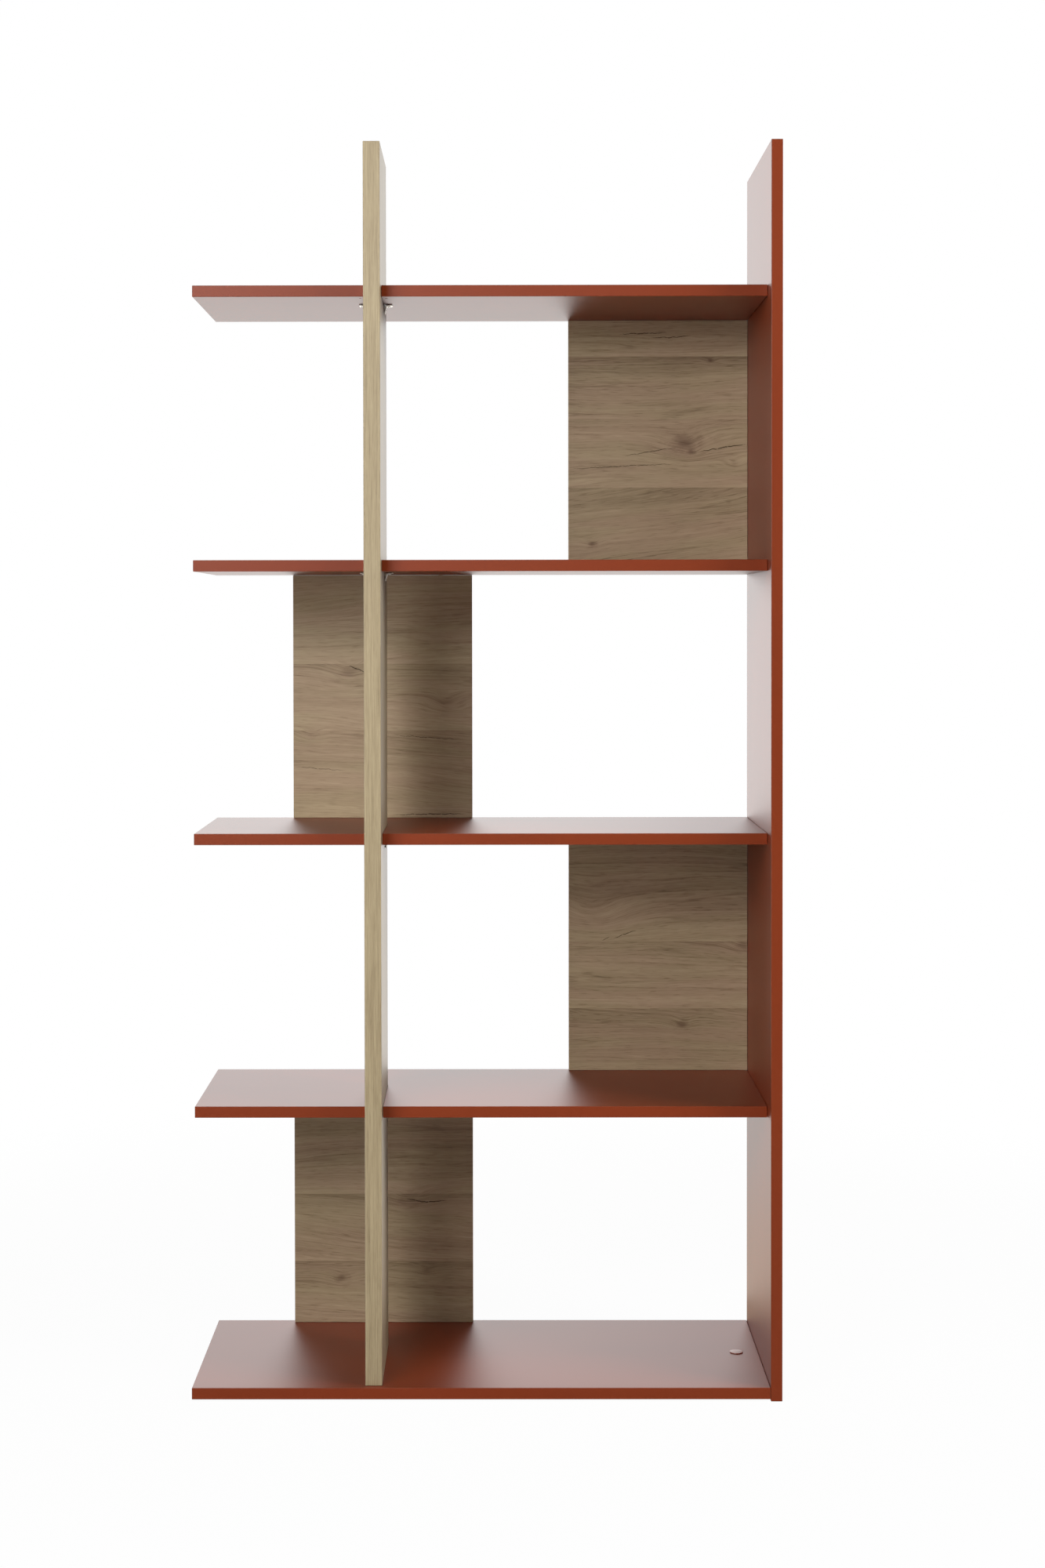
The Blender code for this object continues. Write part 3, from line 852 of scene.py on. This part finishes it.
class Turned:
    """A profile turned about Z: (r cos a, r sin a, z) for each profile point and each angle.

    The profile starts and ends on the axis, and runs from the top down its outer side.
    """

    def __init__(self, profile: np.ndarray, sides: int) -> None:
        """Works out the points with the angle and the radius of each, and the faces.

        Args:
            profile: rows of radius and height.
            sides: the number of angles.
        """
        angle = np.linspace(0.0, 2.0 * math.pi, sides, endpoint=False)
        radius = np.repeat(profile[1:-1, 0], sides)
        height = np.repeat(profile[1:-1, 1], sides)
        around = np.tile(angle, len(profile) - 2)
        rings = np.column_stack((radius * np.cos(around), radius * np.sin(around), height))
        poles = np.array([[0.0, 0.0, profile[0, 1]], [0.0, 0.0, profile[-1, 1]]])
        self.points = np.vstack((rings, poles))
        self.around = np.append(around, (0.0, 0.0))
        self.radius = np.append(radius, (0.0, 0.0))
        self.faces = self.skin(len(profile) - 2, sides)

    @staticmethod
    def skin(rings: int, sides: int) -> list[np.ndarray]:
        """Quads between the rings, and a fan at each pole.

        Args:
            rings: the number of rings between the poles.
            sides: the number of points in a ring.

        Returns:
            The quads, the top fan and the bottom fan.
        """
        ring = np.arange(rings - 1)[:, None] * sides
        side = np.arange(sides)
        beside = (side + 1) % sides
        quads = np.stack((ring + side, ring + sides + side, ring + sides + beside, ring + beside), axis=-1)
        top = np.stack((np.full(sides, rings * sides), side, beside), axis=-1)
        last = (rings - 1) * sides
        bottom = np.stack((np.full(sides, rings * sides + 1), last + beside, last + side), axis=-1)
        return [quads.reshape(-1, 4), top, bottom]


def arc(centre: tuple[float, float], radius: float, start: float, end: float, steps: int) -> np.ndarray:
    """Points of a profile on a circle, from one angle in degrees to another.

    Args:
        centre: its radius and height in the profile.
        radius: the circle's own radius.
        start: the first angle.
        end: the last angle.
        steps: the number of points.

    Returns:
        Rows of radius and height.
    """
    angle = np.radians(np.linspace(start, end, steps))
    return np.column_stack((centre[0] + radius * np.cos(angle), centre[1] + radius * np.sin(angle)))


def facing(direction: Vector, place: Vector) -> Matrix:
    """The matrix that stands a turned shape's +Z along a direction at a place."""
    turn = Vector((0.0, 0.0, 1.0)).rotation_difference(direction).to_matrix().to_4x4()
    return Matrix.Translation(place) @ turn


def dress(node: str, material: Material) -> None:
    """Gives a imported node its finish.

    Args:
        node: the node's name.
        material: the finish.
    """
    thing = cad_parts[node]
    if not thing.material_slots:
        thing.data.materials.append(material)
    for slot in thing.material_slots:
        slot.material = material


def fit_piece(piece: bpy.types.Object, node: str, material: Material) -> None:
    """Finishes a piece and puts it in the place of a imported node.

    Args:
        piece: the new surface.
        node: the node that it stands for.
        material: the finish.
    """
    piece.data.materials.append(material)
    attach(piece, "root")
    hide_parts(node)


# Sub-assemblies


@dataclass
class RedBoards:
    """The side board, the base board and the four shelves."""

    upright_boards: tuple[str, ...] = ("side_board",)
    level_boards: tuple[str, ...] = (
        "base_board", "lower_shelf", "middle_shelf", "upper_shelf", "top_shelf"
    )
    facing: TerracottaFacing = TerracottaFacing()

    def dress(self) -> None:
        """Gives every red board its facing, with the grain along its length."""
        for run, names in ((Axis.Z, self.upright_boards), (Axis.X, self.level_boards)):
            for name in names:
                low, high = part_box(name)
                dress(name, self.facing.material("terracotta_" + name, low, high, run))
                LOG.info("%s: terracotta facing, grain along %s", name, run.name)


@dataclass
class Upright:
    """The oak upright that passes through the shelves."""

    node: str = "upright"
    finish: OakUpright = OakUpright()

    def dress(self) -> None:
        """Gives the upright its oak decor."""
        dress(self.node, self.finish.material("oak_upright"))
        LOG.info("%s: oak decor, straight grain", self.node)


@dataclass
class BackPanels:
    """Four back panels of oak planks, each with its own seams, knots and cracks."""

    bay_4: OakPlanks = OakPlanks(
        planks=(
            Plank(1.0990, 0.14, 0.00, 1.0),
            Plank(1.2061, 0.05, 0.04, 2.0),
            Plank(1.3026, -0.02, -0.02, 3.0),
            Plank(1.3916, 0.02, 0.02, 4.0),
        ),
        knots=(
            Knot(0.280, 1.2690, 0.027, 0.34),
            Knot(0.290, 1.2565, 0.008, 0.34),
            Knot(0.351, 1.2393, 0.009, 0.14),
            Knot(0.149, 1.1264, 0.009, 0.34),
            Knot(0.317, 1.3859, 0.006, 0.22),
        ),
        cracks=(
            Crack((0.184, 1.4224), (0.2601, 1.4245), 0.001, 0.0011),
            Crack((0.230, 1.4190), (0.2920, 1.4222), -0.002, 0.0010),
            Crack((0.298, 1.2560), (0.3711, 1.2675), 0.001, 0.0012),
            Crack((0.192, 1.2500), (0.2740, 1.2630), 0.001, 0.0008),
            Crack((0.112, 1.2320), (0.2750, 1.2396), 0.001, 0.0007),
        ),
    )
    bay_3: OakPlanks = OakPlanks(
        planks=(
            Plank(0.7390, -0.03, 0.08, 5.0),
            Plank(0.8623, -0.04, 0.06, 6.0),
            Plank(0.9569, 0.05, 0.08, 7.0),
        ),
        knots=(
            Knot(-0.196, 0.9440, 0.019, 0.20),
            Knot(-0.057, 0.9032, 0.015, 0.10),
            Knot(-0.250, 0.8560, 0.011, 0.12),
        ),
        cracks=(
            Crack((-0.197, 0.9545), (-0.1690, 0.9440), 0.000, 0.0013),
            Crack((-0.139, 0.7420), (-0.0260, 0.7438), 0.0005, 0.0012),
            Crack((-0.275, 0.8120), (-0.2000, 0.8060), -0.001, 0.0006),
            Crack((-0.140, 0.8560), (-0.0300, 0.8490), 0.000, 0.0006),
        ),
    )
    bay_2: OakPlanks = OakPlanks(
        planks=(
            Plank(0.3790, -0.05, 0.00, 8.0),
            Plank(0.4668, -0.02, 0.02, 9.0),
            Plank(0.5619, 0.00, -0.02, 10.0),
        ),
        knots=(
            Knot(0.150, 0.5990, 0.032, 0.08),
            Knot(0.2766, 0.4432, 0.013, 0.28),
            Knot(0.3635, 0.5560, 0.013, 0.18),
        ),
        cracks=(
            Crack((0.178, 0.5655), (0.2140, 0.5778), 0.001, 0.0010),
            Crack((0.163, 0.5630), (0.1740, 0.5690), 0.000, 0.0007),
        ),
    )
    bay_1: OakPlanks = OakPlanks(
        planks=(
            Plank(0.0190, -0.03, 0.02, 11.0),
            Plank(0.1062, -0.06, 0.02, 12.0),
            Plank(0.2021, 0.02, 0.00, 13.0),
        ),
        knots=(
            Knot(-0.2082, 0.0830, 0.013, 0.28),
            Knot(-0.0864, 0.0919, 0.010, 0.14),
            Knot(-0.112, 0.1950, 0.022, 0.14),
        ),
        cracks=(Crack((-0.119, 0.1968), (-0.0560, 0.1945), -0.005, 0.0013),),
    )

    def dress(self) -> None:
        """Gives each panel its own planks."""
        for bay, finish in vars(self).items():
            name = "back_panel_" + bay
            dress(name, finish.material("oak_" + name))
            LOG.info("%s: %d oak planks", name, len(finish.planks))


@dataclass(frozen=True)
class PanScrew:
    """A pan-head screw: a domed head with a cross recess, and a threaded shank with a point.

    The rims are rounded from an angle, in degrees, down to the level. A share is one of the length that
    it stands beside in the sums.
    """

    radius: float = 0.0015
    root: float = 0.00105
    thread_pitch: float = 0.0011
    neck: float = 0.0003
    thread_start: float = 0.0006
    taper: float = 0.0022
    tip: float = 0.0010
    tip_share: float = 0.5
    head_radius: float = 0.0024
    head_height: float = 0.0013
    head_rim: float = 0.00045
    rim_angle: float = 80.0
    dome_share: float = 0.22
    recess_depth: float = 0.0008
    recess_reach: float = 0.00145
    recess_width: float = 0.00032
    recess_floor_share: float = 0.4
    sides: int = 48
    dome_points: int = 26
    rim_points: int = 6
    shank_points: int = 42

    def build(self, node: str, outward: Vector, steel: Material) -> None:
        """Makes one screw in the place of a packed one.

        The recess lowers the head by a smooth cross: deep where the lesser of |x| and |y| is under half
        the slot's width, out to the recess's reach. The shank's radius rises and falls with the height
        plus the angle's share of a turn, which makes a helix.

        Args:
            node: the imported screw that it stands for.
            outward: the way its head looks.
            steel: its finish.
        """
        low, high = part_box(node)
        length = max(high - low) - self.head_height
        middle = (low + high) / 2
        seat = middle + outward * ((length + self.head_height) / 2 - self.head_height)
        screw = Turned(self.profile(length), self.sides)
        points = screw.points
        on_head = points[:, 2] > self.head_height * self.recess_floor_share
        arm = np.minimum(np.abs(points[:, 0]), np.abs(points[:, 1]))
        cross = 1.0 - self.smooth(arm, self.recess_width * 0.6, self.recess_width * 1.4)
        cross *= 1.0 - self.smooth(screw.radius, self.recess_reach * 0.75, self.recess_reach)
        points[:, 2] -= np.where(on_head, cross * self.recess_depth, 0.0)
        shank = (points[:, 2] < -self.thread_start) & (points[:, 2] > self.taper - length)
        turn = points[:, 2] / self.thread_pitch + screw.around / (2.0 * math.pi)
        ridge = np.abs((turn % 1.0) * 2.0 - 1.0) ** 2
        depth = 1.0 - (1.0 - self.root / self.radius) * (1.0 - ridge)
        points[:, :2] *= np.where(shank, depth, 1.0)[:, None]
        piece = add_surface(node + "_turned", points, screw.faces, facing(outward, seat))
        fit_piece(piece, node, steel)

    def profile(self, length: float) -> np.ndarray:
        """The screw's outline: a dome, a rounded rim, the seat, the shank and the point.

        Args:
            length: from the seat to the point.

        Returns:
            Rows of radius and height.
        """
        rim = self.head_rim
        dome = np.linspace(0.0, self.head_radius - rim, self.dome_points)
        rise = self.head_height - (dome / self.head_radius) ** 2 * self.head_height * self.dome_share
        top = np.column_stack((dome, rise))
        edge = arc((self.head_radius - rim, rise[-1] - rim), rim, self.rim_angle, 0.0, self.rim_points)
        seat = np.array([[self.head_radius, 0.0], [self.radius, 0.0]])
        down = np.linspace(-self.neck, self.taper - length, self.shank_points)
        shank = np.column_stack((np.full_like(down, self.radius), down))
        point = np.array([[self.radius * self.tip_share, self.tip - length], [0.0, -length]])
        return np.vstack((top, edge, seat, shank, point))

    @staticmethod
    def smooth(value: np.ndarray, low: float, high: float) -> np.ndarray:
        """Goes smoothly from 0 at the low value to 1 at the high one."""
        share = np.clip((value - low) / (high - low), 0.0, 1.0)
        return share * share * (3.0 - 2.0 * share)


@dataclass
class AngleBrackets:
    """Eight bent brackets under the shelves, each with a screw into the shelf and one into the upright.

    The bend's corner stands off the upright and the shelf by the two lengths of stand_off.
    """

    levels: tuple[str, ...] = ("lower", "middle", "upper", "top")
    thickness: float = 0.0012
    bend_radius: float = 0.0018
    stand_off: tuple[float, float] = (0.0024, 0.0012)
    corner_radius: float = 0.0025
    end_gap: float = 0.0003
    across_points: int = 15
    bend_points: int = 14
    corner_points: int = 9
    screw: PanScrew = PanScrew()

    def build(self) -> None:
        """Makes every bracket and its two screws."""
        steel = BRIGHT_STEEL.material()
        for level in self.levels:
            for hand in Hand:
                name = f"{level}_bracket_{hand.name.lower()}"
                self.bracket(name, hand, steel)
                self.screw.build(name + "_shelf_screw", Vector((0.0, 0.0, -1.0)), steel)
                self.screw.build(name + "_upright_screw", Vector((hand.value, 0.0, 0.0)), steel)
        LOG.info("angle brackets: %d, with two screws each", len(Hand) * len(self.levels))

    def bracket(self, node: str, hand: Hand, steel: Material) -> None:
        """A sheet carried along an L with a rounded corner, its four outer corners rounded.

        Along the path the half width is the full one, less the drop of a circle near each end. Each place
        on the path has a ring of points: across the outer face, and back across the inner one.

        Args:
            node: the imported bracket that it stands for.
            hand: its side of the upright.
            steel: its finish.
        """
        low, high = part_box(node)
        size = high - low
        path, normal, reach = self.bracket_path(size.x, size.z)
        end = np.minimum(reach, reach[-1] - reach)
        drop = np.maximum(self.corner_radius - end, 0.0)
        half = size.y / 2 - (self.corner_radius - np.sqrt(self.corner_radius**2 - drop**2))
        share = np.linspace(-1.0, 1.0, self.across_points)
        across = np.concatenate((share, share[::-1]))
        inset = np.repeat((0.0, self.thickness), self.across_points)
        x = path[:, 0, None] + normal[:, 0, None] * inset
        z = path[:, 1, None] + normal[:, 1, None] * inset
        y = half[:, None] * across[None, :]
        points = np.stack((x, y, z), axis=-1).reshape(-1, 3)
        points[:, 0] *= hand.value
        corner_x = low.x if hand is Hand.RIGHT else high.x
        place = Matrix.Translation((corner_x, (low.y + high.y) / 2, high.z))
        faces = self.ring_faces(len(path), 2 * self.across_points)
        if hand is Hand.LEFT:
            faces = [group[:, ::-1] for group in faces]
        fit_piece(add_surface(node + "_sheet", points, faces, place), node, steel)

    def bracket_path(self, leg: float, drop: float) -> tuple[np.ndarray, np.ndarray, np.ndarray]:
        """The outer line of a bracket, up its upright leg, round the bend and out along its shelf leg.

        The bend is a little open, as in the photograph: the legs touch the boards at their far ends
        only and the corner stands off both. Each leg is a straight line towards the corner, and the
        bend is the arc that touches both lines.

        Args:
            leg: the length of the shelf leg.
            drop: the length of the upright leg.

        Returns:
            Its points, the directions into the sheet and the lengths along it.
        """
        foot = np.array([0.0, self.end_gap - drop])
        tip = np.array([leg - self.end_gap, 0.0])
        corner = np.array([self.stand_off[0], -self.stand_off[1]])
        up = (corner - foot) / np.linalg.norm(corner - foot)
        out = (tip - corner) / np.linalg.norm(tip - corner)
        headings = math.atan2(up[1], up[0]), math.atan2(out[1], out[0])
        before = corner - up * self.bend_radius * math.tan((headings[0] - headings[1]) / 2)
        centre = before + self.bend_radius * np.array([up[1], -up[0]])
        near = (np.linspace(0.0, 1.0, self.corner_points) ** 2 * self.corner_radius)[:, None]
        bend = np.linspace(*headings, self.bend_points)
        inward = np.column_stack((np.sin(bend), -np.cos(bend)))
        path = np.vstack((foot + up * near, centre - self.bend_radius * inward, tip - out * near[::-1]))
        ends = np.ones((len(near), 1))
        normal = np.vstack((inward[0] * ends, inward, inward[-1] * ends))
        step = np.linalg.norm(np.diff(path, axis=0), axis=1)
        return path, normal, np.concatenate(([0.0], np.cumsum(step)))

    @staticmethod
    def ring_faces(rings: int, around: int) -> list[np.ndarray]:
        """Quads between closed rings of points, and quads across the first and the last ring.

        Args:
            rings: the number of rings.
            around: the number of points in a ring, with the second half facing the first.

        Returns:
            The quads round the sheet and at its two ends.
        """
        ring = np.arange(rings - 1)[:, None] * around
        here = np.arange(around)
        after = (here + 1) % around
        body = np.stack((ring + here, ring + after, ring + around + after, ring + around + here), axis=-1)
        side = np.arange(around // 2 - 1)
        cap = np.stack((side, around - 1 - side, around - 2 - side, side + 1), axis=-1)
        last = cap[:, ::-1] + (rings - 1) * around
        return [body.reshape(-1, 4), cap, last]


@dataclass
class CamFixings:
    """Five cam locks, and the cover cap of the base board's lock.

    The locks' bolts keep the plain steel that they were packed with. The cap's rim is rounded from an
    angle, in degrees, down to the level.
    """

    levels: tuple[str, ...] = ("base", "lower", "middle", "upper", "top")
    cap_node: str = "cam_cover_cap"
    cap_rim: float = 0.0006
    rim_angle: float = 84.0
    dome_share: float = 0.30
    cap_edge: float = 0.0002
    pin_radius: float = 0.0018
    pin_length: float = 0.0012
    pin_taper: float = 0.0003
    pin_end_share: float = 0.8
    sides: int = 96
    dome_points: int = 18
    rim_points: int = 8

    def build(self) -> None:
        """Dresses the locks and makes the cap."""
        zinc = CAST_ZINC.material()
        for level in self.levels:
            dress(level + "_cam_lock", zinc)
        self.cap()
        LOG.info("cam locks: %d, their bolts as packed, and one cover cap", len(self.levels))

    def cap(self) -> None:
        """A low dome that falls with the square of the radius, with a rounded rim and a pin beneath."""
        low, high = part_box(self.cap_node)
        radius = (high.x - low.x) / 2
        height = high.z - low.z - self.pin_length
        dome = np.linspace(0.0, radius - self.cap_rim, self.dome_points)
        rise = height - (dome / radius) ** 2 * height * self.dome_share
        centre = (radius - self.cap_rim, rise[-1] - self.cap_rim)
        edge = arc(centre, self.cap_rim, self.rim_angle, 0.0, self.rim_points)
        below = [
            [radius, self.cap_edge],
            [radius - self.cap_edge, 0.0],
            [self.pin_radius, 0.0],
            [self.pin_radius, self.pin_taper - self.pin_length],
            [self.pin_radius * self.pin_end_share, -self.pin_length],
            [0.0, -self.pin_length],
        ]
        cap = Turned(np.vstack((np.column_stack((dome, rise)), edge, below)), self.sides)
        middle = (low + high) / 2
        place = Matrix.Translation((middle.x, middle.y, low.z + self.pin_length))
        piece = add_surface("cover_cap_turned", cap.points, cap.faces, place)
        fit_piece(piece, self.cap_node, CAP_PLASTIC.material())


@dataclass
class Dowels:
    """Wooden dowels at the back panels' edges and under the upright."""

    bays: tuple[int, ...] = (1, 2, 3, 4)
    ends: tuple[str, ...] = ("bottom", "top")
    upright_ends: tuple[str, ...] = ("front", "rear")

    def dress(self) -> None:
        """Gives every dowel its bare beech."""
        beech = BareBeech(Axis.Z).material("bare_beech")
        for bay in self.bays:
            for end in self.ends:
                dress(f"back_panel_bay_{bay}_{end}_dowel", beech)
        for end in self.upright_ends:
            dress("upright_dowel_" + end, beech)
        LOG.info("dowels: bare beech")


@dataclass
class Glides:
    """Four glides nailed under the base board."""

    places: tuple[str, ...] = ("left_front", "left_rear", "middle_front", "middle_rear")
    top: float = 0.0027
    rim: float = 0.0012
    top_edge: float = 0.0004
    top_bevel: float = 0.0001
    nail_radius: float = 0.0010
    nail_point: float = 0.0015
    foot_share: float = 0.5
    sides: int = 64
    rim_points: int = 8

    def build(self) -> None:
        """Makes each glide as one turned surface: a nail, a flat top, a rounded rim and a flat foot."""
        plastic = GLIDE_PLASTIC.material()
        for place in self.places:
            node = "glide_" + place
            low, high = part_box(node)
            radius = (high.x - low.x) / 2
            above = [
                [0.0, high.z],
                [self.nail_radius, high.z - self.nail_point],
                [self.nail_radius, self.top],
                [radius - self.top_edge, self.top],
                [radius - self.top_bevel, self.top - self.top_bevel],
                [radius, self.top - self.top_edge],
            ]
            rim = arc((radius - self.rim, self.rim), self.rim, 0.0, -90.0, self.rim_points)
            foot = [[radius * self.foot_share, 0.0], [0.0, 0.0]]
            glide = Turned(np.vstack((above, rim, foot)), self.sides)
            centre = (low + high) / 2
            matrix = Matrix.Translation((centre.x, centre.y, 0.0))
            piece = add_surface(node + "_turned", glide.points, glide.faces, matrix)
            fit_piece(piece, node, plastic)
        LOG.info("glides: %d", len(self.places))


# Studio


@dataclass(frozen=True)
class Lamp:
    """A square soft lamp: where it stands, what it looks at, its side, its power and its colour.

    Only gloss sees a lamp that is gloss_only.
    """

    name: str
    place: Point
    aim: Point
    side: float
    watts: float
    gloss_only: bool = False
    colour: Colour = (1.0, 1.0, 1.0)

    def build(self) -> None:
        """Hangs the lamp."""
        light = bpy.data.lights.new(self.name, "AREA")
        light.shape = "SQUARE"
        light.size = self.side
        light.energy = self.watts
        light.color = self.colour
        lamp = new_object(self.name, light)
        lamp.location = self.place
        look = Vector(self.aim) - Vector(self.place)
        lamp.rotation_euler = look.to_track_quat("-Z", "Y").to_euler()
        lamp.visible_camera = False
        lamp.visible_diffuse = not self.gloss_only


@dataclass
class Studio:
    """Camera, lamps, world and floor.

    Gloss sees a bright world and floor behind the unit only. They fade in over world_behind, in the Y of
    the direction, and over floor_behind, in metres along Y. glow_span and bounce_span are squares of the
    distance from the middle of the floor.
    """

    camera_place: Point = (0.01555, -3.2133, 1.01743)
    camera_turn: Point = (89.0818, 0.0819, 0.1819)
    lens: float = 54.237
    sensor: float = 36.0
    shift: tuple[float, float] = (0.02049, -0.07974)
    sight: float = 60.0
    lamps: tuple[Lamp, ...] = (
        Lamp("key_high", (-0.93, -2.63, 1.97), (0.0, 0.0, 0.95), 0.7, 23.0),
        Lamp("key_low", (-1.9, -2.8, 1.3), (0.0, 0.0, 0.95), 1.2, 27.5),
        Lamp("key_near", (-1.5, -1.9, 2.1), (0.0, 0.0, 0.95), 1.2, 19.0),
        Lamp("fill_front", (1.9, -2.6, 1.3), (0.0, 0.0, 0.95), 1.2, 5.0),
        Lamp("fill_side", (2.5, -1.1, 2.1), (0.0, 0.0, 1.05), 1.2, 60.0),
        Lamp("backdrop", (-0.7, 4.2, 2.45), (-0.7, 0.0, 2.45), 4.4, 60.0),
        Lamp("floor_card", (0.0, 3.75, 0.02), (0.0, 3.75, 1.0), 7.0, 112.0, True, (1.0, 0.94, 0.86)),
        Lamp("back_card", (-1.6, 4.3, 2.25), (-1.6, 0.0, 2.25), 4.4, 48.0, True, (1.0, 0.98, 0.95)),
        Lamp("front_card", (-1.25, -2.7, 2.1), (-0.4, 0.0, 1.45), 1.0, 62.0, True),
    )
    ambient: float = 0.01
    glossy_front: float = 0.05
    glossy_back: float = 1.0
    world_behind: Span = (-0.25, 0.15)
    floor_side: float = 30.0
    floor_glow: float = 0.97
    floor_bounce: Colour = (1.0, 0.78, 0.60)
    floor_behind: Span = (-0.25, 0.35)
    glow_span: Span = (0.5, 3.5)
    bounce_span: Span = (0.1, 1.9)

    def build(self) -> None:
        """Sets up everything but the unit."""
        self.camera()
        for lamp in self.lamps:
            lamp.build()
        self.world()
        self.floor()
        bpy.context.scene.view_settings.view_transform = "Standard"
        LOG.info("studio: camera, lamps, world and floor")

    def camera(self) -> None:
        """Stands the camera where the photograph was taken from."""
        data = bpy.data.cameras.new("camera")
        data.lens = self.lens
        data.sensor_width = self.sensor
        data.sensor_fit = "AUTO"
        data.shift_x, data.shift_y = self.shift
        data.clip_end = self.sight
        camera = new_object("camera", data)
        camera.location = self.camera_place
        camera.rotation_euler = tuple(math.radians(angle) for angle in self.camera_turn)
        bpy.context.scene.camera = camera

    def world(self) -> None:
        """White for the camera. For gloss it is white behind the unit and dim in front of it."""
        world = bpy.data.worlds.new("studio")
        bpy.context.scene.world = world
        world.use_nodes = True
        graph = Graph(world.node_tree)
        path = graph.add("ShaderNodeLightPath").outputs
        seen = Value(graph, path["Is Camera Ray"]).most(Value(graph, path["Is Transmission Ray"]))
        gloss = Value(graph, path["Is Glossy Ray"])
        _, y, _ = graph.split(graph.add("ShaderNodeTexCoord").outputs["Generated"])
        mirrored = self.glossy_front + y.rise(*self.world_behind) * (self.glossy_back - self.glossy_front)
        unseen = gloss * mirrored + (1 - gloss) * self.ambient
        sockets = {"Color": (1.0, 1.0, 1.0, 1.0), "Strength": seen + (1 - seen) * unseen}
        background = graph.add("ShaderNodeBackground", None, sockets)
        graph.add("ShaderNodeOutputWorld", None, {"Surface": background.outputs[0]})

    def floor(self) -> None:
        """A pale floor that glows white to the camera and keeps a soft part of the shadow."""
        half = self.floor_side / 2
        corners = [(-half, -half, 0.0), (half, -half, 0.0), (half, half, 0.0), (-half, half, 0.0)]
        mesh = bpy.data.meshes.new("floor")
        mesh.from_pydata(corners, [], [(0, 1, 2, 3)])
        mesh.materials.append(self.floor_material())
        new_object("floor", mesh)

    def floor_material(self) -> Material:
        """The floor's look. Gloss sees it white too, and warm near the red boards, which light it.

        Returns:
            The material.
        """
        graph = Paint("pale_floor")
        x, y, _ = graph.split(graph.place())
        path = graph.add("ShaderNodeLightPath").outputs
        seen = Value(graph, path["Is Camera Ray"])
        gloss = Value(graph, path["Is Glossy Ray"])
        square = x * x + y * y
        far = square.rise(*self.glow_span)
        shown = seen * (self.floor_glow + far * (1 - self.floor_glow)) + gloss * y.rise(*self.floor_behind)
        grit = graph.noise(graph.place(), 90.0, 3.0)
        pale = graph.blend(grit, (0.80, 0.80, 0.80), (0.84, 0.84, 0.84))
        matt = graph.add("ShaderNodeBsdfDiffuse", None, {"Color": pale}).outputs[0]
        bounce = gloss * (1 - square.rise(*self.bounce_span))
        warm = graph.blend(bounce, (1.0, 1.0, 1.0), self.floor_bounce)
        glow = graph.add("ShaderNodeEmission", None, {"Color": warm, "Strength": 1.0}).outputs[0]
        return graph.end(graph.add("ShaderNodeMixShader", None, {0: shown, 1: matt, 2: glow}))


def main() -> None:
    """Builds and dresses the unit and sets up the studio."""
    logging.basicConfig(level=logging.INFO, format="%(message)s")
    RedBoards().dress()
    Upright().dress()
    BackPanels().dress()
    AngleBrackets().build()
    CamFixings().build()
    Dowels().dress()
    Glides().build()
    Studio().build()


if __name__ == "__main__":
    main()
